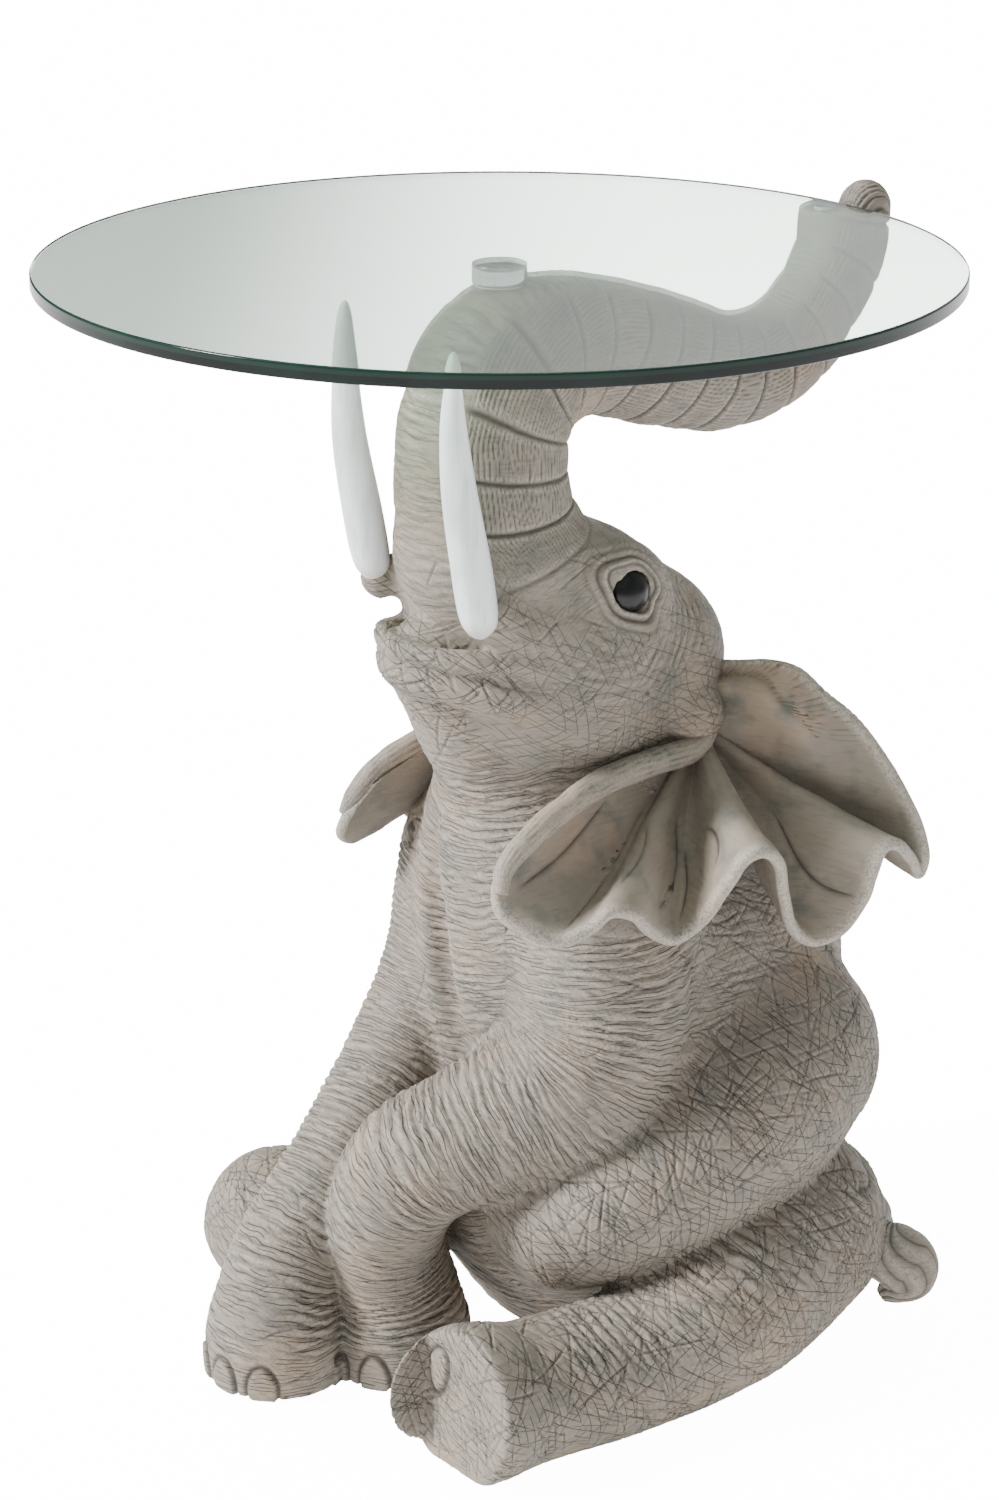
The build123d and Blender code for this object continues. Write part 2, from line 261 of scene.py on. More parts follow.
class Field:
    """A box of signed distances that forms are blended into or carved from."""

    FAR = 60.0

    def __init__(self, low: tuple, high: tuple, step: float) -> None:
        """Make an empty field.

        Args:
            low: Lowest corner.
            high: Highest corner.
            step: Grid spacing.
        """
        self.low = np.array(low, float)
        self.step = step
        shape = np.ceil((np.array(high) - self.low) / step).astype(int) + 1
        self.values = np.full(tuple(shape), self.FAR, np.float32)

    def copy(self) -> "Field":
        """Return a copy."""
        other = Field.__new__(Field)
        other.low, other.step, other.values = self.low, self.step, self.values.copy()
        return other

    def window(self, low: Array, high: Array) -> tuple:
        """Return the index window over a box and its open coordinate grids."""
        shape = np.array(self.values.shape)
        i = np.clip(np.floor((low - self.low) / self.step).astype(int), 0, shape)
        j = np.clip(np.ceil((high - self.low) / self.step).astype(int) + 1, 0, shape)
        cut = tuple(slice(a, b) for a, b in zip(i, j))
        axes = [self.low[n] + self.step * np.arange(i[n], j[n]) for n in range(3)]
        return cut, np.meshgrid(*axes, indexing="ij", sparse=True)

    def distances(self, form: object, margin: float) -> tuple:
        """Evaluate a form near itself.

        Args:
            form: A Chain or an Egg.
            margin: How far outside the form to go.

        Returns:
            The index window and the distances in it.
        """
        if isinstance(form, Egg):
            reach = max(form.half) + margin
            centre = np.array(form.centre)
            cut, (x, y, z) = self.window(centre - reach, centre + reach)
            return cut, form.distance(x, y, z).astype(np.float32)
        curve = form.curve()
        reach = curve[:, 3].max() + margin
        low, high = curve[:, :3].min(0) - reach, curve[:, :3].max(0) + reach
        cut, _ = self.window(low, high)
        part = np.full(tuple(s.stop - s.start for s in cut), self.FAR, np.float32)
        for a, b in zip(curve[:-1], curve[1:]):
            near = max(a[3], b[3]) + margin
            box_low = np.minimum(a[:3], b[:3]) - near
            box_high = np.maximum(a[:3], b[:3]) + near
            small, (x, y, z) = self.window(box_low, box_high)
            run = b[:3] - a[:3]
            h = ((x - a[0]) * run[0] + (y - a[1]) * run[1] + (z - a[2]) * run[2]) / (run @ run)
            h = np.clip(h, 0.0, 1.0)
            d = np.sqrt(
                (x - a[0] - h * run[0]) ** 2 + (y - a[1] - h * run[1]) ** 2 + (z - a[2] - h * run[2]) ** 2
            )
            d = (d - (a[3] + (b[3] - a[3]) * h)).astype(np.float32)
            inner = tuple(slice(s.start - c.start, s.stop - c.start) for s, c in zip(small, cut))
            part[inner] = np.minimum(part[inner], d)
        return cut, part

    def add(self, form: object, blend: float) -> None:
        """Blend a form in, with a fillet of about the given width."""
        cut, d = self.distances(form, blend + 3 * self.step)
        self.values[cut] = soft_min(self.values[cut], d, blend)

    def carve(self, form: object, blend: float) -> None:
        """Carve a form out, with a softened edge."""
        cut, d = self.distances(form, blend + 3 * self.step)
        self.values[cut] = -soft_min(-self.values[cut], d, blend)

    def surface(self) -> tuple:
        """Return the surface as points in millimetres and quads."""
        grid = openvdb.FloatGrid(3.0 * self.step)
        grid.copyFromArray(np.clip(self.values, -3.0 * self.step, 3.0 * self.step))
        points, quads = grid.convertToQuads(0.0)
        return points * self.step + self.low, quads.astype(np.int64)


def soft_min(a: Array, b: Array, width: float) -> Array:
    """Return the smaller of two distances with a rounded join."""
    h = np.clip(0.5 + 0.5 * (a - b) / width, 0.0, 1.0)
    return a * (1.0 - h) + b * h - width * h * (1.0 - h)


# --- meshes --------------------------------------------------------------------------------


def build_object(name: str, points: Array, faces: list, values: dict | None = None) -> bpy.types.Object:
    """Make a smooth-shaded object from arrays.

    Args:
        name: The piece's name.
        points: Rows of x, y, z in millimetres about the stud axis.
        faces: Arrays of corner indices, each three or four wide.
        values: Point attributes by name.

    Returns:
        The linked object.
    """
    mesh = bpy.data.meshes.new(name)
    points = on_row(points)
    mesh.vertices.add(len(points))
    mesh.vertices.foreach_set("co", points.astype(np.float32).ravel())
    corners = np.concatenate([f.ravel() for f in faces])
    sizes = np.concatenate([np.full(len(f), f.shape[1]) for f in faces])
    starts = np.concatenate([[0], np.cumsum(sizes)[:-1]])
    mesh.loops.add(len(corners))
    mesh.loops.foreach_set("vertex_index", corners.astype(np.int32))
    mesh.polygons.add(len(sizes))
    mesh.polygons.foreach_set("loop_start", starts.astype(np.int32))
    mesh.polygons.foreach_set("use_smooth", np.ones(len(sizes), bool))
    mesh.update(calc_edges=True)
    mesh.validate()
    for key, value in (values or {}).items():
        attribute = mesh.attributes.new(key, "FLOAT", "POINT")
        attribute.data.foreach_set("value", np.asarray(value, np.float32))
    obj = bpy.data.objects.new(name, mesh)
    bpy.context.scene.collection.objects.link(obj)
    return obj


def refined(points: Array, quads: Array, levels: int) -> tuple:
    """Subdivide a closed quad mesh smoothly.

    Args:
        points: Rows of x, y, z.
        quads: Corner indices.
        levels: How many times to split.

    Returns:
        Points, quads and vertex normals.
    """
    obj = build_object("refining", points, [quads])
    modifier = obj.modifiers.new("split", "SUBSURF")
    modifier.levels = levels
    shape = obj.evaluated_get(bpy.context.evaluated_depsgraph_get()).to_mesh()
    fine = np.empty(len(shape.vertices) * 3, np.float32)
    shape.vertices.foreach_get("co", fine)
    corners = np.empty(len(shape.loops), np.int32)
    shape.loops.foreach_get("vertex_index", corners)
    normals = np.empty(len(shape.vertices) * 3, np.float32)
    shape.vertex_normals.foreach_get("vector", normals)
    bpy.data.objects.remove(obj)
    fine = fine.reshape(-1, 3).astype(float) / MM - np.array([0.0, STUD_Y, 0.0])
    return fine, corners.reshape(-1, 4).astype(np.int64), normals.reshape(-1, 3).astype(float)


def sleeve(rings: Array) -> tuple:
    """Skin rings of points into a closed tube with rounded-off ends.

    Args:
        rings: Array of ring, point around, xyz.

    Returns:
        Points and face arrays.
    """
    count, around = rings.shape[:2]
    points = np.vstack([rings.reshape(-1, 3), rings[0].mean(0), rings[-1].mean(0)])
    i, j = np.meshgrid(np.arange(count - 1), np.arange(around), indexing="ij")
    k = (j + 1) % around
    quads = np.stack([i * around + j, i * around + k, (i + 1) * around + k, (i + 1) * around + j], -1)
    j = np.arange(around)
    k = (j + 1) % around
    last = (count - 1) * around
    first_cap = np.stack([np.full(around, count * around), k, j], -1)
    last_cap = np.stack([np.full(around, count * around + 1), last + j, last + k], -1)
    return points, [quads.reshape(-1, 4), first_cap, last_cap]


def tube_rings(curve: Array, around: int, up: tuple = (0.0, 0.0, 1.0)) -> tuple:
    """Set rings square to a curve of x, y, z, radius.

    Args:
        curve: The centreline with radii.
        around: Points in each ring.
        up: A direction that the curve never follows.

    Returns:
        The rings, the outward directions and the angle of each point.
    """
    centre, radius = curve[:, :3], curve[:, 3]
    ahead = unit(np.gradient(centre, axis=0))
    side = unit(np.cross(ahead, np.array(up)))
    over = np.cross(side, ahead)
    angle = np.linspace(0.0, 2 * math.pi, around, endpoint=False)
    out = np.cos(angle)[None, :, None] * side[:, None] + np.sin(angle)[None, :, None] * over[:, None]
    return centre[:, None] + radius[:, None, None] * out, out, angle


def finish_piece(obj: bpy.types.Object, body: Body, slot: str, *nodes: str) -> None:
    """Ride a piece on its body and hide the nodes it stands for."""
    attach(obj, body.value)
    if nodes:
        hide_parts(*nodes)
    LOG.info("%s rides on %s, %d faces", obj.name, body.value, len(obj.data.polygons))


# --- finishes ------------------------------------------------------------------------------


def colour(code: str) -> tuple:
    """Turn an sRGB hex code into linear RGBA."""
    parts = [int(code[i : i + 2], 16) / 255 for i in (1, 3, 5)]
    return tuple(p / 12.92 if p <= 0.04045 else ((p + 0.055) / 1.055) ** 2.4 for p in parts) + (1.0,)


def per_mm(size: float) -> float:
    """Return the texture scale that gives features of a size in millimetres."""
    return 1.0 / (size * MM)


def add_node(
    tree: bpy.types.NodeTree, kind: str, settings: dict | None = None, **links: object
) -> bpy.types.Node:
    """Add a node, set its properties and inputs, and link sockets into it.

    Args:
        tree: The tree to add to.
        kind: The node's type name.
        settings: Values by property name, or by input name or number.
        links: Sockets by input name, with spaces as underscores, or i0, i1 for input numbers.

    Returns:
        The node.
    """
    made = tree.nodes.new(kind)
    for key, value in (settings or {}).items():
        if isinstance(key, int) or key in made.inputs.keys():
            made.inputs[key].default_value = value
        else:
            setattr(made, key, value)
    for key, socket in links.items():
        place = int(key[1:]) if key[0] == "i" and key[1:].isdigit() else key.replace("_", " ")
        tree.links.new(socket, made.inputs[place])
    return made


def math_node(tree: bpy.types.NodeTree, operation: str, *values: object) -> object:
    """Combine sockets and numbers in one math node.

    Args:
        tree: The tree to add to.
        operation: The node's operation.
        values: Sockets or numbers, in the order of the node's inputs.

    Returns:
        The result's socket.
    """
    made = add_node(tree, "ShaderNodeMath", {"operation": operation})
    for place, value in zip(made.inputs, values):
        if isinstance(value, (int, float)):
            place.default_value = value
        else:
            tree.links.new(value, place)
    return made.outputs[0]


def noise_node(tree: bpy.types.NodeTree, size: float, detail: float, where: object) -> object:
    """Return the socket of a noise whose features have a size in millimetres."""
    settings = {"Scale": per_mm(size), "Detail": detail}
    return add_node(tree, "ShaderNodeTexNoise", settings, Vector=where).outputs[0]


def new_material(name: str) -> tuple:
    """Return a material, its tree and its bare surface shader."""
    material = bpy.data.materials.new(name)
    material.use_nodes = True
    tree = material.node_tree
    return material, tree, tree.nodes["Principled BSDF"]


def blended(
    tree: bpy.types.NodeTree, amount: object, first: object, second: object, kind: str = "MIX"
) -> object:
    """Mix two colours.

    Args:
        tree: The tree to add to.
        amount: A socket or a number.
        first: A socket or a colour.
        second: A socket or a colour.
        kind: The blend type.

    Returns:
        The mixed colour's socket.
    """
    mix = add_node(tree, "ShaderNodeMix", {"data_type": "RGBA", "blend_type": kind})
    for place, value in ((0, amount), (6, first), (7, second)):
        if isinstance(value, bpy.types.NodeSocket):
            tree.links.new(value, mix.inputs[place])
        else:
            mix.inputs[place].default_value = value
    return mix.outputs[2]


def spread(tree: bpy.types.NodeTree, source: object, low: float, high: float) -> object:
    """Stretch a value from low..high to 0..1 with a smooth step."""
    settings = {"interpolation_type": "SMOOTHSTEP", "From Min": low, "From Max": high}
    return add_node(tree, "ShaderNodeMapRange", settings, Value=source).outputs[0]


@dataclass(frozen=True)
class PaintedResin:
    """Cast polyresin, brushed with taupe acrylic, with painted shade in the cuts and a painted highlight on
    the ridges.

    The painted shade makes each cut read as a dark line and the painted highlight picks out the ridges, with
    no gloss.
    Fine needle-scored lines follow the limbs, and straight hatching crosses the haunches and back; both are
    drawn as thin lines of painted shade.
    """

    name: str
    taupe: str = "#877E73"
    tan: str = "#948371"
    grey: str = "#747269"
    # the dark colour below is painted shade for the cuts and scored lines (the brush streaks reuse it); the
    # pale one is a painted highlight for the ridges
    wash: str = "#332C25"
    painted_highlight: str = "#C4BDB2"
    painted_shade_strength: float = 0.92
    painted_highlight_strength: float = 0.6
    streak_strength: float = 0.22
    line_strength: float = 0.9
    roughness: float = 0.62
    blotch_mm: float = 52.0
    cloud_mm: float = 20.0
    grain_mm: float = 1.4
    brush_mm: float = 2.0
    ring_mm: float = 2.2
    hatch_mm: float = 4.8
    line_mm: float = 0.24
    stroke_mm: float = 20.0
    lane_step: float = 7.31
    hatch_lies: tuple = ((0.26, 0.45, 0.85), (0.2, -0.62, 0.76), (-0.33, 0.92, 0.2), (0.75, 0.15, 0.65))

    def line(
        self, tree: bpy.types.NodeTree, where: object, ramp: object, width: object, stray: tuple
    ) -> object:
        """Return thin broken lines where a ramp passes whole numbers.

        Args:
            tree: The tree to add to.
            where: The position socket.
            ramp: A value that rises by one from line to line.
            width: Half the line's width as a share of the spacing.
            stray: How far a line runs before it strays, in millimetres, and by how many spacings.

        Returns:
            The lines' socket, 0 to 1.
        """
        run, spacings = stray
        shift = math_node(tree, "MULTIPLY_ADD", noise_node(tree, run, 1.0, where), spacings, ramp)
        off = math_node(tree, "PINGPONG", shift, 0.5)
        thin = spread(tree, math_node(tree, "DIVIDE", off, width), 1.5, 0.5)
        lane = math_node(tree, "MULTIPLY", math_node(tree, "ROUND", shift), self.lane_step)
        push = add_node(tree, "ShaderNodeCombineXYZ", None, i0=lane)
        stroke = {"operation": "SCALE", "Scale": per_mm(self.stroke_mm)}
        base = add_node(tree, "ShaderNodeVectorMath", stroke, i0=where)
        place = add_node(
            tree, "ShaderNodeVectorMath", {"operation": "ADD"}, i0=base.outputs[0], i1=push.outputs[0]
        )
        keep = add_node(tree, "ShaderNodeTexNoise", {"Scale": 1.0, "Detail": 0.5}, Vector=place.outputs[0])
        shown = spread(tree, keep.outputs[0], 0.44, 0.54)
        return math_node(tree, "MULTIPLY", thin, shown)

    def scored(self, tree: bpy.types.NodeTree, where: object) -> object:
        """Return the fine lines: rings along the flow, and hatching in four directions."""
        flow = add_node(tree, "ShaderNodeAttribute", {"attribute_name": "flow"}).outputs["Fac"]
        ringed = add_node(tree, "ShaderNodeAttribute", {"attribute_name": "ringed"}).outputs["Fac"]
        hatched = add_node(tree, "ShaderNodeAttribute", {"attribute_name": "scored"}).outputs["Fac"]
        facing = add_node(tree, "ShaderNodeNewGeometry").outputs["Normal"]
        ramp = math_node(tree, "MULTIPLY", flow, 1.0 / self.ring_mm)
        even = math_node(tree, "ADD", self.line_mm / self.ring_mm, 0.0)
        rings = self.line(tree, where, ramp, even, (18.0, 2.2))
        total = math_node(tree, "MULTIPLY", rings, ringed)
        for lie in self.hatch_lies:
            dot = {"operation": "DOT_PRODUCT", 1: lie}
            level = add_node(tree, "ShaderNodeVectorMath", dot, i0=where).outputs["Value"]
            ramp = math_node(tree, "MULTIPLY", level, per_mm(self.hatch_mm))
            face = add_node(tree, "ShaderNodeVectorMath", dot, i0=facing).outputs["Value"]
            slant = math_node(tree, "SUBTRACT", 1.02, math_node(tree, "MULTIPLY", face, face))
            width = math_node(tree, "MULTIPLY", math_node(tree, "SQRT", slant), self.line_mm / self.hatch_mm)
            lines = self.line(tree, where, ramp, width, (80.0, 2.4))
            clear = spread(tree, slant, 0.2, 0.45)
            lines = math_node(tree, "MULTIPLY", math_node(tree, "MULTIPLY", lines, hatched), clear)
            total = math_node(tree, "MAXIMUM", total, lines)
        return total

    def build(self) -> bpy.types.Material:
        """Return the material."""
        material, tree, shader = new_material(self.name)
        where = add_node(tree, "ShaderNodeTexCoord").outputs["Object"]
        blotch = noise_node(tree, self.blotch_mm, 3.0, where)
        cloud = noise_node(tree, self.cloud_mm, 4.0, where)
        grain = noise_node(tree, self.grain_mm, 3.0, where)
        drawn = {"Scale": (0.16, 0.16, 1.0), "Rotation": (0.12, 0.1, 0.0)}
        lie = add_node(tree, "ShaderNodeMapping", drawn, Vector=where)
        streak = spread(tree, noise_node(tree, self.brush_mm, 2.0, lie.outputs[0]), 0.5, 0.66)
        tone = blended(tree, spread(tree, blotch, 0.5, 0.72), colour(self.taupe), colour(self.tan))
        tone = blended(tree, spread(tree, cloud, 0.5, 0.75), tone, colour(self.grey))
        wash = colour(self.wash)
        # brush streaks of darker paint, mixed towards the same dark colour
        tone = blended(tree, math_node(tree, "MULTIPLY", streak, self.streak_strength), tone, wash)
        cuts = add_node(tree, "ShaderNodeAttribute", {"attribute_name": "wash"}).outputs["Fac"]
        ridges = add_node(tree, "ShaderNodeAttribute", {"attribute_name": "painted_highlight"}).outputs["Fac"]
        patch = spread(tree, grain, 0.34, 0.62)
        # painted highlight on the ridges, broken up by the grain
        ridge_highlight = math_node(tree, "MULTIPLY", math_node(tree, "MULTIPLY", ridges, patch), self.painted_highlight_strength)
        tone = blended(tree, ridge_highlight, tone, colour(self.painted_highlight))
        # painted shade in the cuts
        tone = blended(tree, math_node(tree, "MULTIPLY", cuts, self.painted_shade_strength), tone, wash)
        fine = self.scored(tree, where)
        # painted shade in the fine scored lines
        tone = blended(tree, math_node(tree, "MULTIPLY", fine, self.line_strength), tone, wash)
        tree.links.new(tone, shader.inputs["Base Color"])
        sheen = {"To Min": self.roughness - 0.12, "To Max": self.roughness + 0.14}
        dull = add_node(tree, "ShaderNodeMapRange", sheen, Value=cloud)
        tree.links.new(dull.outputs[0], shader.inputs["Roughness"])
        height = math_node(tree, "MULTIPLY_ADD", streak, -0.5, grain)
        height = math_node(tree, "MULTIPLY_ADD", fine, -1.6, height)
        bump = add_node(tree, "ShaderNodeBump", {"Strength": 0.55, "Distance": 0.35 * MM}, Height=height)
        tree.links.new(bump.outputs[0], shader.inputs["Normal"])
        shader.inputs["IOR"].default_value = 1.5
        return material


@dataclass(frozen=True)
class SatinEnamel:
    """White enamel brushed on cast resin: a soft sheen with a faint cool cast, and brownish painted shade at
    the root where it meets the sheath.
    """

    name: str
    white: str = "#EEF1F2"
    cool: str = "#D9E0E3"
    # brownish painted shade at the root, where the tusk meets the sheath
    root_shade: str = "#B9A994"
    roughness: float = 0.34
    streak_mm: float = 5.0

    def build(self) -> bpy.types.Material:
        """Return the material."""
        material, tree, shader = new_material(self.name)
        where = add_node(tree, "ShaderNodeTexCoord").outputs["Object"]
        lie = add_node(tree, "ShaderNodeMapping", {"Scale": (1.0, 1.0, 0.12)}, Vector=where)
        streak = add_node(
            tree,
            "ShaderNodeTexNoise",
            {"Scale": per_mm(self.streak_mm), "Detail": 3.0},
            Vector=lie.outputs[0],
        )
        tone = blended(tree, spread(tree, streak.outputs[0], 0.4, 0.7), colour(self.white), colour(self.cool))
        # painted shade towards the root
        root = add_node(tree, "ShaderNodeAttribute", {"attribute_name": "wash"}).outputs["Fac"]
        tone = blended(tree, root, tone, colour(self.root_shade))
        tree.links.new(tone, shader.inputs["Base Color"])
        dull = add_node(
            tree,
            "ShaderNodeMapRange",
            {"To Min": self.roughness - 0.06, "To Max": self.roughness + 0.1},
            Value=streak.outputs[0],
        )
        tree.links.new(dull.outputs[0], shader.inputs["Roughness"])
        bump = add_node(
            tree, "ShaderNodeBump", {"Strength": 0.25, "Distance": 0.2 * MM}, Height=streak.outputs[0]
        )
        tree.links.new(bump.outputs[0], shader.inputs["Normal"])
        return material


@dataclass(frozen=True)
class EyeLacquer:
    """Black lacquer on a domed eye: a hard wet highlight over a slightly grey pupil."""

    name: str
    black: str = "#0A0A0A"
    haze: str = "#17191A"

    def build(self) -> bpy.types.Material:
        """Return the material."""
        material, tree, shader = new_material(self.name)
        where = add_node(tree, "ShaderNodeTexCoord").outputs["Object"]
        cloud = add_node(tree, "ShaderNodeTexNoise", {"Scale": per_mm(6.0), "Detail": 2.0}, Vector=where)
        tone = blended(tree, spread(tree, cloud.outputs[0], 0.4, 0.65), colour(self.black), colour(self.haze))
        tree.links.new(tone, shader.inputs["Base Color"])
        shader.inputs["Roughness"].default_value = 0.3
        shader.inputs["Specular IOR Level"].default_value = 0.35
        return material


@dataclass(frozen=True)
class FloatGlass:
    """Clear float glass: nearly colourless through its face and green along its length."""

    name: str
    tint: str = "#CEDCD2"

    def build(self) -> bpy.types.Material:
        """Return the material."""
        material, tree, shader = new_material(self.name)
        shader.inputs["Base Color"].default_value = colour(self.tint)
        shader.inputs["Roughness"].default_value = 0.0
        shader.inputs["IOR"].default_value = 1.52
        shader.inputs["Transmission Weight"].default_value = 1.0
        path = add_node(tree, "ShaderNodeLightPath")
        clear = add_node(tree, "ShaderNodeBsdfTransparent", {"Color": colour(self.tint)})
        out = tree.nodes["Material Output"]
        mix = add_node(
            tree,
            "ShaderNodeMixShader",
            None,
            i0=path.outputs["Is Shadow Ray"],
            i1=shader.outputs[0],
            i2=clear.outputs[0],
        )
        tree.links.new(mix.outputs[0], out.inputs["Surface"])
        return material


@dataclass(frozen=True)
class PolishedGlassEdge:
    """The ground and polished rim, where the pane's green iron tint gathers to near black, with a painted
    highlight towards the top arris.
    """

    name: str
    deep: str = "#050E0B"
    bright: str = "#1B3A30"

    def build(self) -> bpy.types.Material:
        """Return the material."""
        material, tree, shader = new_material(self.name)
        where = add_node(tree, "ShaderNodeTexCoord").outputs["Object"]
        cloud = add_node(tree, "ShaderNodeTexNoise", {"Scale": per_mm(38.0), "Detail": 2.0}, Vector=where)
        # painted highlight rising towards the top arris of the rim
        edge = add_node(tree, "ShaderNodeAttribute", {"attribute_name": "wash"}).outputs["Fac"]
        tone = blended(tree, spread(tree, cloud.outputs[0], 0.42, 0.7), colour(self.deep), colour("#0A1D17"))
        tone = blended(tree, edge, tone, colour(self.bright))
        tree.links.new(tone, shader.inputs["Base Color"])
        shader.inputs["Roughness"].default_value = 0.12
        shader.inputs["IOR"].default_value = 1.52
        shader.inputs["Specular IOR Level"].default_value = 0.2
        return material


@dataclass(frozen=True)
class TurnedMetal:
    """Metal turned on a lathe and polished: bright, with fine rings that stretch the highlights."""

    name: str
    tone: str = "#DDDEE0"
    roughness: float = 0.16
    groove_mm: float = 0.35

    def build(self) -> bpy.types.Material:
        """Return the material."""
        material, tree, shader = new_material(self.name)
        where = add_node(tree, "ShaderNodeTexCoord").outputs["Object"]
        rings = add_node(tree, "ShaderNodeMapping", {"Scale": (0.08, 0.08, 1.0)}, Vector=where)
        fine = add_node(
            tree,
            "ShaderNodeTexNoise",
            {"Scale": per_mm(self.groove_mm), "Detail": 2.0},
            Vector=rings.outputs[0],
        )
        dark = tuple(0.8 * c for c in colour(self.tone)[:3]) + (1.0,)
        tone = blended(tree, fine.outputs[0], colour(self.tone), dark)
        tree.links.new(tone, shader.inputs["Base Color"])
        shader.inputs["Metallic"].default_value = 1.0
        spreadness = add_node(
            tree,
            "ShaderNodeMapRange",
            {"To Min": self.roughness - 0.05, "To Max": self.roughness + 0.1},
            Value=fine.outputs[0],
        )
        tree.links.new(spreadness.outputs[0], shader.inputs["Roughness"])
        bump = add_node(
            tree, "ShaderNodeBump", {"Strength": 0.12, "Distance": 0.05 * MM}, Height=fine.outputs[0]
        )
        tree.links.new(bump.outputs[0], shader.inputs["Normal"])
        return material


@dataclass(frozen=True)
class PlainPolymer:
    """Moulded or pressed stuff of the hidden fixings: an even colour with a fine matt grain."""

    name: str
    tone: str
    roughness: float = 0.6
    grain_mm: float = 0.8

    def build(self) -> bpy.types.Material:
        """Return the material."""
        material, tree, shader = new_material(self.name)
        where = add_node(tree, "ShaderNodeTexCoord").outputs["Object"]
        grain = add_node(
            tree, "ShaderNodeTexNoise", {"Scale": per_mm(self.grain_mm), "Detail": 4.0}, Vector=where
        )
        dark = tuple(0.7 * c for c in colour(self.tone)[:3]) + (1.0,)
        tree.links.new(blended(tree, grain.outputs[0], colour(self.tone), dark), shader.inputs["Base Color"])
        shader.inputs["Roughness"].default_value = self.roughness
        bump = add_node(
            tree, "ShaderNodeBump", {"Strength": 0.4, "Distance": 0.15 * MM}, Height=grain.outputs[0]
        )
        tree.links.new(bump.outputs[0], shader.inputs["Normal"])
        return material


# --- the elephant --------------------------------------------------------------------------


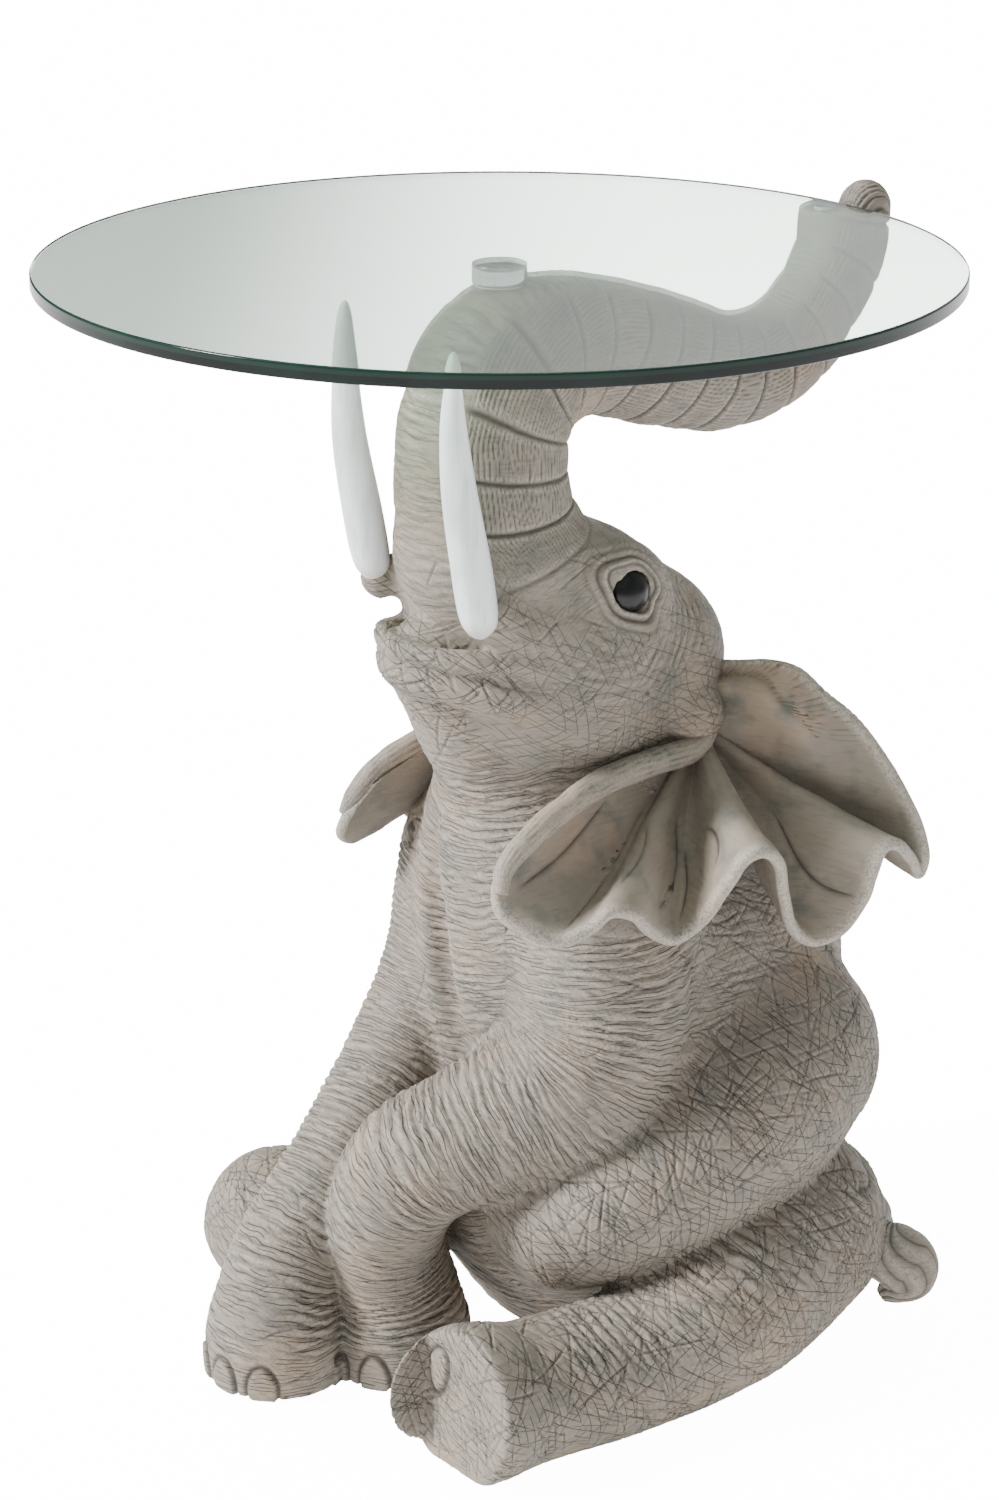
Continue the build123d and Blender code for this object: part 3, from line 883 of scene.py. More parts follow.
class Skin:
    """A dense surface with a relief, painted shade in its cuts and a painted highlight on its ridges."""

    CELL = 8.0

    def __init__(self, points: Array, quads: Array, normals: Array) -> None:
        """Keep the surface and index its points by cell.

        Args:
            points: Rows of x, y, z in millimetres.
            quads: Corner indices.
            normals: Unit normals.
        """
        self.points, self.quads, self.normals = points, quads, normals
        self.relief = np.zeros(len(points))
        self.wash = np.zeros(len(points))
        self.painted_highlight = np.zeros(len(points))
        self.flow = np.zeros(len(points))
        self.ringed = np.zeros(len(points))
        self.scored = np.zeros(len(points))
        cells = np.floor(points / self.CELL).astype(np.int64)
        keys = self.key(cells)
        self.order = np.argsort(keys, kind="stable")
        found, first = np.unique(keys[self.order], return_index=True)
        last = np.append(first[1:], len(keys))
        self.spans = {int(k): (int(a), int(b)) for k, a, b in zip(found, first, last)}

    @staticmethod
    def key(cells: Array) -> Array:
        """Return one number for each cell."""
        return cells[..., 0] * 4_000_000 + cells[..., 1] * 2_000 + cells[..., 2]

    def around(self, path: Array) -> Array:
        """Return the indices of points in the cells on and next to a path."""
        cells = np.unique(np.floor(path / self.CELL).astype(np.int64), axis=0)
        steps = np.array([(x, y, z) for x in (-1, 0, 1) for y in (-1, 0, 1) for z in (-1, 0, 1)])
        keys = np.unique(self.key(cells[:, None] + steps))
        spans = [self.spans[int(k)] for k in keys if int(k) in self.spans]
        return np.concatenate([self.order[a:b] for a, b in spans]) if spans else np.zeros(0, int)

    def cut_line(
        self, start: int, heading: Array, length: float, width: float, depth: float, bend: float
    ) -> None:
        """Incise one short line with a small burr on each side, with painted shade in the cut and a painted
        highlight on the burrs.

        Args:
            start: Index of the point at the line's middle.
            heading: Unit direction of the line on the surface.
            length: The line's length.
            width: Half width of the cut.
            depth: Depth of the cut.
            bend: Sideways bow over the line's half length.
        """
        middle, out = self.points[start], self.normals[start]
        across = np.cross(out, heading)
        half = length / 2
        path = middle + np.linspace(-half, half, max(2, int(length / self.CELL) + 2))[:, None] * heading
        near = self.around(path)
        if not len(near):
            return
        gap = self.points[near] - middle
        s = gap @ heading / half
        w = gap @ across - bend * s * s
        ok = (np.abs(s) < 1.0) & (np.abs(w) < 4 * width) & (self.normals[near] @ out > 0.3)
        near, s, w = near[ok], s[ok], w[ok]
        fade = np.clip(1.6 * (1.0 - s * s), 0.0, 1.0)
        cut = np.exp(-((w / width) ** 2)) * fade
        burr = np.exp(-(((np.abs(w) - 2.0 * width) / (0.9 * width)) ** 2)) * fade
        self.relief[near] = np.minimum(self.relief[near], self.relief[near] * 0.6 - depth * cut)
        self.relief[near] += 0.18 * depth * burr
        # painted shade in the cut, painted highlight on the burrs
        self.wash[near] = np.maximum(self.wash[near], 0.5 * cut * min(1.0, depth / 0.8))
        self.painted_highlight[near] = np.maximum(self.painted_highlight[near], 0.4 * burr)

    def hatch(
        self,
        allow: Array,
        count: int,
        lengths: tuple,
        headings: Array,
        swing: float,
        rng: object,
        depth: float = 0.75,
        bow: float = 0.12,
    ) -> None:
        """Scatter incised lines.

        Args:
            allow: Chance of a line at each point, 0 to 1.
            count: Lines to try.
            lengths: Shortest and longest line.
            headings: Preferred unit direction at each point.
            swing: Spread of the direction in radians.
            rng: The random source.
            depth: Mean depth.
            bow: Sideways bow as a share of the length.
        """
        picks = rng.integers(0, len(self.points), count)
        chance = rng.random(count)
        size = rng.uniform(lengths[0], lengths[1], count)
        turn = rng.normal(0.0, swing, count)
        bend = rng.normal(0.0, bow, count) * size
        sink = rng.uniform(0.55, 1.35, count) * depth
        for n in range(count):
            i = picks[n]
            if chance[n] > allow[i]:
                continue
            out = self.normals[i]
            ahead = headings[i] - (headings[i] @ out) * out
            size_ahead = np.linalg.norm(ahead)
            if size_ahead < 0.2:
                continue
            ahead = ahead / size_ahead
            ahead = math.cos(turn[n]) * ahead + math.sin(turn[n]) * np.cross(out, ahead)
            self.cut_line(i, ahead, size[n], 0.66, sink[n], bend[n])

    def folds(
        self, along: Array, weight: Array, spacing: float, depth: float, seed: int, wander: float = 1.0
    ) -> None:
        """Raise soft rings with sharp valleys between, with painted shade in the valleys and a painted
        highlight on the crests.

        Args:
            along: Distance along the limb at each point.
            weight: Strength at each point, 0 to 1.
            spacing: Mean distance from ring to ring.
            depth: Depth of the valleys.
            seed: Picks the pattern.
            wander: How far the rings stray and merge.
        """
        use = np.flatnonzero(weight > 0.01)
        p = self.points[use]
        drift = 1.25 * noise(p, 42.0, seed) + 0.55 * noise(p, 15.0, seed + 1) + 0.2 * noise(p, 6.0, seed + 4)
        phase = along[use] / spacing + wander * drift
        wave = np.abs(np.sin(np.pi * phase))
        strength = np.clip(0.62 + 0.6 * noise(p, 17.0, seed + 2), 0.1, 1.0) * weight[use]
        self.relief[use] += depth * strength * (wave**0.75 - 0.62)
        # painted shade in the valleys, painted highlight on the crests
        valley = 0.75 * np.clip((0.3 - wave) / 0.3, 0.0, 1.0) * np.clip(strength * 1.25, 0.0, 1.0)
        self.wash[use] = np.maximum(self.wash[use], valley)
        crest = np.clip((wave - 0.72) / 0.28, 0.0, 1.0) * strength
        self.painted_highlight[use] = np.maximum(self.painted_highlight[use], 0.75 * crest)

    def groove(self, path: Array, width: float, depth: float, wash: float = 1.0) -> None:
        """Press a groove along a path of points lying near the surface, with painted shade in it."""
        near = self.around(path)
        p = self.points[near]
        gap = np.full(len(near), 1e3)
        for a, b in zip(path[:-1], path[1:]):
            run = b - a
            h = np.clip((p - a) @ run / max(run @ run, 1e-9), 0.0, 1.0)
            gap = np.minimum(gap, np.linalg.norm(p - a - h[:, None] * run, axis=1))
        cut = np.exp(-((gap / width) ** 2))
        self.relief[near] -= depth * cut
        # painted shade in the groove
        self.wash[near] = np.maximum(self.wash[near], wash * cut)

    def shaped(self) -> Array:
        """Return the points with the relief applied."""
        return self.points + self.relief[:, None] * self.normals


@dataclass(frozen=True)
class ElephantCasting:
    """The body and trunk castings, joined and painted as one skin."""

    coarse_mm: float = 2.0
    levels: int = 1
    wall_low: tuple = (-200.0, -190.0, -8.0)
    wall_high: tuple = (200.0, 292.0, 668.0)
    # torso sections: height, centre y, half width, half depth
    torso: tuple = (
        (-10.0, 106.0, 106.0, 88.0),
        (14.0, 104.0, 118.0, 100.0),
        (34.0, 102.0, 126.0, 112.0),
        (64.0, 100.0, 130.0, 124.0),
        (110.0, 99.0, 132.0, 129.0),
        (180.0, 86.0, 122.0, 118.0),
        (245.0, 66.0, 102.0, 103.0),
        (310.0, 48.0, 80.0, 82.0),
        (360.0, 46.0, 64.0, 70.0),
        (405.0, 48.0, 58.0, 64.0),
    )
    back: Egg = Egg((0.0, 128.0, 212.0), (104.0, 104.0, 112.0))
    head: tuple = (
        Egg((0.0, 44.0, 434.0), (67.0, 64.0, 58.0)),
        Egg((0.0, 90.0, 408.0), (63.0, 55.0, 52.0)),
        Egg((0.0, -14.0, 482.0), (50.0, 43.0, 30.0)),
    )
    cheek: Egg = Egg((40.0, 26.0, 408.0), (34.0, 56.0, 46.0))
    brow: Egg = Egg((42.0, 48.0, 470.0), (22.0, 34.0, 20.0), -25.0)
    ear_knot: Egg = Egg((56.0, 95.0, 381.0), (15.0, 19.0, 17.0))
    shoulder: Egg = Egg((62.0, 30.0, 258.0), (45.0, 53.0, 76.0))
    right_shoulder: Egg = Egg((-48.0, 26.0, 262.0), (44.0, 50.0, 74.0))
    belly: Egg = Egg((36.0, 4.0, 102.0), (64.0, 54.0, 56.0))
    right_leg: Chain = Chain(
        (
            (-52.0, 20.0, 290.0, 38.0),
            (-54.0, 16.0, 252.0, 40.0),
            (-54.0, 6.0, 212.0, 40.0),
            (-54.0, -18.0, 174.0, 38.0),
            (-49.0, -56.0, 136.0, 34.0),
            (-44.0, -88.0, 106.0, 33.0),
            (-42.0, -120.0, 74.0, 34.0),
            (-40.0, -132.0, 46.0, 37.0),
            (-40.0, -134.0, 22.0, 42.0),
            (-40.0, -134.0, 6.0, 42.0),
        )
    )
    left_leg: Chain = Chain(
        (
            (68.0, 16.0, 280.0, 46.0),
            (76.0, 14.0, 226.0, 49.0),
            (70.0, -6.0, 188.0, 47.0),
            (48.0, -44.0, 164.0, 41.0),
            (22.0, -78.0, 140.0, 38.0),
            (4.0, -86.0, 104.0, 35.0),
            (-5.0, -78.0, 68.0, 35.0),
            (-6.0, -73.0, 42.0, 38.0),
            (-6.0, -72.0, 20.0, 43.0),
            (-6.0, -72.0, 6.0, 43.0),
        )
    )
    thigh: Chain = Chain(
        (
            (86.0, 134.0, 172.0, 64.0),
            (98.0, 96.0, 156.0, 63.0),
            (102.0, 44.0, 136.0, 54.0),
            (94.0, 2.0, 118.0, 44.0),
            (80.0, -14.0, 108.0, 40.0),
        )
    )
    left_shin: Chain = Chain(
        (
            (114.0, -112.0, 39.0, 45.0),
            (119.0, -76.0, 36.0, 40.0),
            (131.0, -4.0, 39.0, 41.0),
            (132.0, 60.0, 58.0, 54.0),
            (106.0, 130.0, 68.0, 61.0),
        )
    )
    right_shin: Chain = Chain(
        (
            (-115.0, -78.0, 48.0, 45.0),
            (-120.0, -52.0, 43.0, 41.0),
            (-128.0, 0.0, 42.0, 41.0),
            (-132.0, 60.0, 58.0, 54.0),
            (-106.0, 130.0, 68.0, 61.0),
        )
    )
    jaw: Chain = Chain(
        (
            (0.0, 20.0, 372.0, 54.0),
            (0.0, -4.0, 392.0, 46.0),
            (0.0, -20.0, 412.0, 40.0),
            (0.0, -50.0, 430.0, 24.0),
        )
    )
    lower_lip: Chain = Chain(
        (
            (50.0, -2.0, 412.0, 16.0),
            (42.0, -34.0, 418.0, 13.0),
            (24.0, -58.0, 424.0, 9.5),
            (0.0, -70.0, 428.0, 8.5),
            (-22.0, -58.0, 430.0, 9.5),
            (-40.0, -34.0, 425.0, 13.0),
            (-50.0, -2.0, 416.0, 16.0),
        )
    )
    upper_lip: Chain = Chain(
        (
            (54.0, -18.0, 434.0, 8.0),
            (43.0, -44.0, 438.0, 6.5),
            (23.0, -64.0, 440.0, 5.5),
            (0.0, -74.0, 442.5, 5.5),
            (-22.0, -64.0, 443.0, 5.5),
            (-42.0, -42.0, 438.0, 6.0),
            (-54.0, -18.0, 434.0, 8.0),
        )
    )
    sheath: Chain = Chain(
        (
            (33.0, 6.0, 434.0, 33.0),
            (39.0, -18.0, 448.0, 21.0),
            (41.0, -32.0, 458.0, 14.5),
            (41.5, -37.0, 463.0, 12.5),
        )
    )
    right_sheath: Chain = Chain(
        (
            (-33.0, 6.0, 441.0, 33.0),
            (-40.0, -18.0, 455.0, 21.0),
            (-46.0, -37.0, 462.0, 14.0),
            (-48.5, -45.0, 464.5, 11.5),
        )
    )
    trunk: Chain = Chain(
        (
            (0.0, 18.0, 440.0, 60.0),
            (0.0, -7.0, 492.0, 50.0),
            (0.0, -13.0, 532.0, 47.0),
            (0.0, -9.0, 562.0, 46.0),
            (0.0, 6.0, 582.0, 45.0),
            (0.0, 34.0, 588.0, 39.0),
            (0.0, 66.0, 585.0, 35.0),
            (0.0, 112.0, 571.0, 34.5),
            (0.0, 162.0, 556.0, 30.5),
            (0.0, 206.0, 561.0, 27.0),
            (0.0, 238.0, 584.0, 25.5),
            (0.0, 255.0, 612.0, 26.0),
            (0.0, 257.0, 640.0, 26.5),
        ),
        64,
    )
    finger: Egg = Egg((0.0, 273.0, 637.0), (14.0, 16.0, 17.5))
    eye: tuple = (57.0, 43.5, 465.0)
    eye_out: tuple = (0.88, -0.12, 0.46)
    seat_z: float = 625.0
    ledge_z: float = 635.0
    rim_clear: float = 251.0
    sole_y: float = -122.0

    def torso_distance(self, x: Array, y: Array, z: Array) -> Array:
        """Return the distance to the stack of torso sections."""
        rows = through(np.array(self.torso), 80)
        height = rows[:, 0]
        centre = np.interp(z, height, rows[:, 1])
        half_x = np.interp(z, height, rows[:, 2])
        half_y = np.interp(z, height, rows[:, 3])
        k0 = np.sqrt((x / half_x) ** 2 + ((y - centre) / half_y) ** 2)
        k1 = np.sqrt((x / half_x**2) ** 2 + ((y - centre) / half_y**2) ** 2)
        radial = k0 * (k0 - 1.0) / np.maximum(k1, 1e-6)
        return np.maximum(radial, z - height[-1])

    def sculpt(self, step: float) -> Field:
        """Return the whole form as a field.

        Args:
            step: Grid spacing.

        Returns:
            The field.
        """
        body = Field(self.wall_low, self.wall_high, step)
        cut, (x, y, z) = body.window(np.array([-150.0, -60.0, -8.0]), np.array([150.0, 250.0, 420.0]))
        body.values[cut] = self.torso_distance(x, y, z)
        body.add(self.back, 30.0)
        body.add(self.belly, 16.0)
        body.add(self.belly.mirrored(), 16.0)
        for form in self.head:
            body.add(form, 14.0)
        for form in (self.cheek, self.brow):
            body.add(form, 14.0)
            body.add(form.mirrored(HEAD_TIP), 14.0)
        body.add(self.shoulder, 13.0)
        body.add(self.right_shoulder, 13.0)
        body.add(self.jaw, 14.0)
        for knot in (self.ear_knot, self.ear_knot.mirrored(HEAD_TIP)):
            body.add(knot, 10.0)
        for sheath in (self.sheath, self.right_sheath):
            body.add(sheath, 8.0)
        body.add(self.trunk, 12.0)
        cut, (x, y, z) = body.window(np.array([-70.0, 180.0, 600.0]), np.array([70.0, 292.0, 668.0]))
        body.values[cut] = -soft_min(-body.values[cut], self.ledge_z - z + 0.0 * (x + y), 3.0)
        body.add(self.finger, 4.0)
        body.add(self.lower_lip, 6.0)
        body.add(self.upper_lip, 3.0)
        for thigh in (self.thigh, self.thigh.mirrored()):
            body.add(thigh, 16.0)
        self.carve_lines(body)
        for shin in (self.left_shin, self.right_shin):
            body.add(shin, 4.0)
        self.flatten_soles(body)
        other = body.copy()
        body.add(self.left_leg, 9.0)
        other.add(self.right_leg, 9.0)
        body.values = soft_min(body.values, other.values, 1.5)
        self.trim(body)
        return body

    def carve_lines(self, body: Field) -> None:
        """Carve the mouth, the chest crease and the eye sockets."""
        mouth = Chain(
            (
                (-34.0, -64.0, 436.5, 1.6),
                (-20.0, -82.0, 437.0, 1.8),
                (0.0, -90.0, 435.5, 1.8),
                (28.0, -68.0, 432.0, 2.0),
                (44.0, -48.0, 428.5, 2.0),
                (58.0, -30.0, 422.0, 1.4),
            )
        )
        body.carve(mouth, 2.0)
        notch = Chain(
            (
                (-62.0, -26.0, 441.0, 5.0),
                (-46.0, -40.0, 447.0, 6.0),
                (-30.0, -53.0, 453.0, 6.5),
                (-12.0, -67.0, 459.0, 5.5),
                (8.0, -76.0, 461.0, 4.0),
                (24.0, -68.0, 456.0, 3.0),
                (38.0, -56.0, 449.0, 2.0),
                (54.0, -40.0, 441.0, 1.2),
            )
        )
        body.carve(notch, 4.0)
        breast = Chain(
            (
                (64.0, -14.0, 300.0, 3.0),
                (63.0, -13.0, 276.0, 7.0),
                (60.0, -13.0, 250.0, 9.0),
                (58.0, -15.0, 228.0, 7.0),
                (62.0, -20.0, 206.0, 3.0),
            )
        )
        body.carve(breast, 9.0)
        crease = Chain(
            (
                (-30.0, -30.0, 332.0, 4.0),
                (-26.0, -31.0, 303.0, 8.0),
                (-17.0, -33.0, 267.0, 10.0),
                (-8.0, -33.0, 220.0, 10.0),
                (4.0, -34.0, 186.0, 8.0),
                (14.0, -34.0, 158.0, 4.0),
            )
        )
        body.carve(crease, 11.0)
        for side in Side:
            body.carve(Egg(tuple(to_side(self.eye, side)), (13.0, 13.0, 13.0)), 1.6)

    def flatten_soles(self, body: Field) -> None:
        """Flatten the hind feet where their soles face forwards."""
        for low, high in ((86.0, 200.0), (-200.0, -86.0)):
            cut, (x, y, z) = body.window(np.array([low, -190.0, -8.0]), np.array([high, -90.0, 110.0]))
            wall = (self.sole_y - y) + 0.1 * (z - 40.0) + 0.0 * x
            body.values[cut] = -soft_min(-body.values[cut], -wall.astype(np.float32), 4.0)

    def trim(self, body: Field) -> None:
        """Cut the floor, the disc's seat and the clearance round the glass rim."""
        cut, (x, y, z) = body.window(np.array(self.wall_low), np.array(self.wall_high))
        plane = (FLOOR_LIFT - z) + 0.0 * x + 0.0 * y
        body.values = -soft_min(-body.values, -plane.astype(np.float32), 3.0)
        cut, (x, y, z) = body.window(np.array([-70.0, -70.0, 600.0]), np.array([70.0, 120.0, 668.0]))
        body.values[cut] = np.maximum(body.values[cut], z - self.seat_z)
        cut, (x, y, z) = body.window(np.array([-70.0, 180.0, 600.0]), np.array([70.0, 292.0, 668.0]))
        inside = np.maximum(np.sqrt(x**2 + y**2) - self.rim_clear, self.ledge_z - 0.4 - z)
        body.values[cut] = np.maximum(body.values[cut], -inside)

    def skin(self, coarse: float) -> Skin:
        """Return the finished skin with every fold and cut."""
        points, quads = self.sculpt(coarse).surface()
        points, quads, normals = refined(points, quads, self.levels)
        LOG.info("casting skin has %d points", len(points))
        skin = Skin(points, quads, normals)
        self.dress_skin(skin)
        return skin

    def dress_skin(self, skin: Skin) -> None:
        """Work the relief over the whole skin."""
        rng = np.random.default_rng(20)
        p, n = skin.points, skin.normals
        quiet = ease(16.0, 26.0, np.hypot(p[:, 0], p[:, 1]) + 200.0 * (p[:, 2] < 600.0))
        quiet = quiet * ease(1.0, 8.0, np.abs(p[:, 2] - self.ledge_z) + 20.0 * (p[:, 1] < 200.0))
        found = {name: limb.locate(p) for name, limb in self.limbs().items()}
        near = {name: np.exp(-((np.maximum(f["gap"], 0.0) / 6.0) ** 2)) for name, f in found.items()}
        arms = np.clip(near["left_leg"] + near["right_leg"], 0.0, 1.0)
        shins = np.clip(near["left_shin"] + near["right_shin"], 0.0, 1.0)
        limbs_all = np.clip(sum(near.values()), 0.0, 1.0)
        up = np.tile([0.0, 0.0, 1.0], (len(p), 1))
        axis = up * (1.0 - limbs_all)[:, None]
        for name, f in found.items():
            axis = axis + near[name][:, None] * f["axis"]
        axis = unit(axis)
        rings = unit(np.cross(axis, n))
        skin.flow = p[:, 2] - 0.005 * np.minimum(np.abs(p[:, 0]), 55.0) ** 2
        closest = np.full(len(p), 7.0)
        for name in ("left_thigh", "right_thigh", "left_shin", "right_shin", "left_leg", "right_leg"):
            closer = found[name]["gap"] < closest
            skin.flow[closer] = found[name]["along"][closer]
            closest[closer] = found[name]["gap"][closer]
        self.eyelids(skin)
        # keep the lids' relief and their painted shade
        lids, lid_painted_shade = skin.relief.copy(), skin.wash.copy()
        for name in ("left_leg", "right_leg"):
            weight = near[name] * ease(14.0, 34.0, p[:, 2])
            skin.folds(found[name]["along"], weight, 5.6, 2.3, 31, 0.6)
        front = ease(0.35, -0.3, n[:, 1]) * (1.0 - np.clip(arms + near["trunk"] + shins, 0.0, 1.0))
        chest = front * ease(395.0, 360.0, p[:, 2]) * (
            1.0 - np.clip(near["left_thigh"] + near["right_thigh"], 0.0, 1.0)
        )
        skin.folds(skin.flow, chest, 6.0, 2.3, 41, 0.65)
        for name in ("left_shin", "right_shin"):
            weight = near[name] * ease(0.0, 0.55, n[:, 2]) * ease(30.0, 70.0, found[name]["along"])
            skin.folds(found[name]["along"] + 0.35 * p[:, 2], weight, 7.6, 3.0, 51, 0.4)
        self.trunk_skin(skin, found["trunk"], near["trunk"])
        head = ease(375.0, 398.0, p[:, 2]) * (1.0 - near["trunk"]) * ease(-60.0, -20.0, p[:, 1])
        eye_gap = np.linalg.norm(p - to_side(self.eye, Side.LEFT), axis=1)
        eye_gap = np.minimum(eye_gap, np.linalg.norm(p - to_side(self.eye, Side.RIGHT), axis=1))
        head = head * ease(22.0, 36.0, eye_gap)
        fore = np.clip(arms + chest, 0.0, 1.0)
        hatch = np.clip(1.0 - fore - head - near["trunk"], 0.0, 1.0) * ease(4.0, 12.0, p[:, 2])
        steep = ease(0.35, 0.7, np.linalg.norm(np.cross(axis, n), axis=1))
        skin.ringed = np.maximum(np.clip(fore + 0.3 * head, 0.0, 1.0) * steep, skin.ringed)
        skin.scored = np.clip(hatch + 0.75 * head + 0.35 * fore, 0.0, 1.0) * ease(20.0, 30.0, eye_gap)
        skin.hatch(fore * quiet * ease(10.0, 20.0, p[:, 2]), 3000, (10.0, 30.0), rings, 0.2, rng, 0.7)
        skin.hatch(hatch * quiet, 6500, (18.0, 60.0), rings, 0.75, rng, 0.7, 0.03)
        skin.hatch(head * quiet * ease(-44.0, -24.0, p[:, 1]), 3000, (8.0, 26.0), rings, 0.8, rng, 0.5, 0.04)
        around_eye = head * ease(24.0, 34.0, eye_gap) * ease(86.0, 56.0, eye_gap) * ease(
            -0.2, 0.4, np.abs(n[:, 0])
        )
        skin.folds(eye_gap + 0.25 * p[:, 1], 0.7 * around_eye, 6.8, 1.6, 45, 0.7)
        self.toenails(skin)
        self.hand_lines(skin)
        skin.relief += (
            0.22 * noise(p, 5.0, 71) + 0.5 * noise(p, 26.0, 72) + 0.12 * noise(p, 2.6, 73)
        ) * ease(15.0, 24.0, eye_gap)
        away = ease(23.0, 33.0, eye_gap)
        # near the eyes, keep the lids' relief and painted shade
        skin.relief = away * skin.relief + (1.0 - away) * lids
        skin.wash = away * skin.wash + (1.0 - away) * np.maximum(lid_painted_shade, 0.4 * skin.wash)
        for base in ((46.0, -47.0, 460.0), (-47.0, -45.0, 466.0)):
            quiet = quiet * (0.25 + 0.75 * ease(15.0, 28.0, np.linalg.norm(p - base, axis=1)))
        skin.relief *= quiet
        skin.ringed *= quiet
        skin.wash = np.clip(skin.wash, 0.0, 1.0)
        # no painted highlight where there is painted shade
        skin.painted_highlight = np.clip(skin.painted_highlight * (1.0 - skin.wash), 0.0, 1.0)

    def limbs(self) -> dict:
        """Return every limb by name."""
        return {
            "left_leg": self.left_leg,
            "right_leg": self.right_leg,
            "left_thigh": self.thigh,
            "right_thigh": self.thigh.mirrored(),
            "left_shin": self.left_shin,
            "right_shin": self.right_shin,
            "trunk": self.trunk,
        }

    def trunk_skin(self, skin: Skin, found: dict, near: Array) -> None:
        """Cut the trunk's segments, the lengthwise ribs between them and the front wrinkles.

        Args:
            skin: The skin to work.
            found: The trunk's location data.
            near: Weight of the trunk at each point.
        """
        use = np.flatnonzero(near > 0.05)
        p, along = skin.points[use], found["along"][use]
        weight = near[use]
        back = np.cross(found["axis"][use], [1.0, 0.0, 0.0])
        angle = np.arctan2(found["offset"][use][:, 0], np.einsum("ij,ij->i", found["offset"][use], back))
        reach = np.linalg.norm(found["offset"][use], axis=1)
        ribbed = ease(2.62, 2.38, np.abs(angle)) * ease(44.0, 54.0, along)
        pitch = 25.0
        wavy = along + 2.2 * noise(p, 34.0, 61) + 5.0 * np.cos(angle)
        phase = wavy / pitch
        band = np.floor(phase)
        edge = np.minimum(phase - band, band + 1.0 - phase) * pitch
        cut = np.exp(-((edge / 1.2) ** 2)) * ribbed * weight
        skin.relief[use] -= 1.8 * cut
        bulge = np.sin(np.pi * (phase - band)) ** 0.6
        skin.relief[use] += 1.0 * (bulge - 0.5) * ribbed * weight
        shift = np.sin(band * 12.9898) * 4.0
        girth = angle * reach + shift + 1.3 * noise(p, 11.0, 62) + 0.04 * along * np.sin(band * 7.1)
        rib = np.abs(np.sin(np.pi * girth / 2.7))
        rib_weight = ribbed * weight * (1.0 - np.exp(-((edge / 2.0) ** 2)))
        skin.relief[use] -= 0.9 * (1.0 - rib) * rib_weight
        # painted shade in the rib grooves and the segment cuts
        skin.wash[use] = np.maximum(skin.wash[use], 0.95 * np.clip((0.5 - rib) / 0.5, 0.0, 1.0) * rib_weight)
        skin.wash[use] = np.maximum(skin.wash[use], 0.95 * cut)
        # painted highlight along the swell behind each segment cut
        skin.painted_highlight[use] = np.maximum(
            skin.painted_highlight[use], 0.5 * np.exp(-(((edge - 3.0) / 1.5) ** 2)) * ribbed * weight
        )
        inked = ribbed * weight > 0.5
        skin.flow[use] = np.where(inked, 0.8 * girth + 40.0 * band, along)
        skin.ringed[use] = np.maximum(skin.ringed[use], weight * (0.5 - 0.15 * ribbed))
        smooth_side = np.zeros(len(skin.points))
        smooth_side[use] = ease(2.38, 2.66, np.abs(angle)) * weight * ease(30.0, 60.0, along)
        skin.folds(found["along"], smooth_side, 4.6, 1.1, 64, 0.8)

    def eyelids(self, skin: Skin) -> None:
        """Raise two folds round each eye, drawn out to a point at the inner corner, with painted shade in the
        creases and a painted highlight on the lid rim.
        """
        p = skin.points
        for side in Side:
            eye = to_side(self.eye, side)
            out = unit(np.array(self.eye_out) * [side.value, 1.0, 1.0])
            corner = np.array([0.0, -0.8, 0.6])
            corner = unit(corner - (corner @ out) * out)
            down = np.cross(out, corner) * side.value
            gap = p - eye
            a, b, h = gap @ corner, gap @ down, gap @ out
            r = np.hypot(a, b)
            turn = np.arctan2(b, a)
            stretch = 1.0 + 0.42 * np.exp(-((turn / 0.42) ** 2)) + 0.26 * np.exp(
                -(((np.abs(turn) - 2.7) / 0.45) ** 2)
            )
            ring = r / stretch
            here = (h > -14.0) & (skin.normals @ out > 0.0)
            lift = np.zeros(len(p))
            for radius, width, height in (
                (14.0, 1.4, 1.7), (16.8, 1.0, -1.4), (19.4, 1.6, 1.1), (22.4, 1.0, -0.6), (26.0, 2.0, 0.4)
            ):
                lift += height * np.exp(-(((ring - radius) / width) ** 2))
            # painted shade in the creases round the eye
            lines = np.maximum(
                0.75 * np.exp(-(((ring - 16.8) / 0.8) ** 2)), 0.35 * np.exp(-(((ring - 22.4) / 0.8) ** 2))
            )
            lines = np.maximum(lines, 0.95 * np.exp(-(((ring - 12.2) / 0.8) ** 2)))
            skin.relief[here] += lift[here]
            skin.wash[here] = np.maximum(skin.wash[here], lines[here])
            # painted highlight on the lid rim
            rim = np.exp(-(((ring - 13.8) / 1.0) ** 2))
            skin.painted_highlight[here] = np.maximum(skin.painted_highlight[here], 0.8 * rim[here])

    def toenails(self, skin: Skin) -> None:
        """Raise nails with a cut outline on every foot."""
        p = skin.points
        feet = [
            (self.right_leg.stations[-1], (-118.0, -84.0, -48.0)),
            (self.left_leg.stations[-1], (-128.0, -92.0, -56.0)),
        ]
        for (x, y, _, radius), angles in feet:
            turn = np.arctan2(p[:, 1] - y, p[:, 0] - x)
            close = (np.hypot(p[:, 0] - x, p[:, 1] - y) < radius + 8.0) & (p[:, 2] < 40.0)
            for degrees in angles:
                gap = (turn - math.radians(degrees) + math.pi) % (2 * math.pi) - math.pi
                self.nail(skin, close, gap * radius / 9.5, (p[:, 2] - 9.0) / 15.0)
        close = (p[:, 0] > 70.0) & (p[:, 1] < -100.0) & (skin.normals[:, 2] > -0.2)
        self.nail(skin, close, (p[:, 0] - 96.0) / 8.0, (p[:, 2] - 60.0) / 9.0)

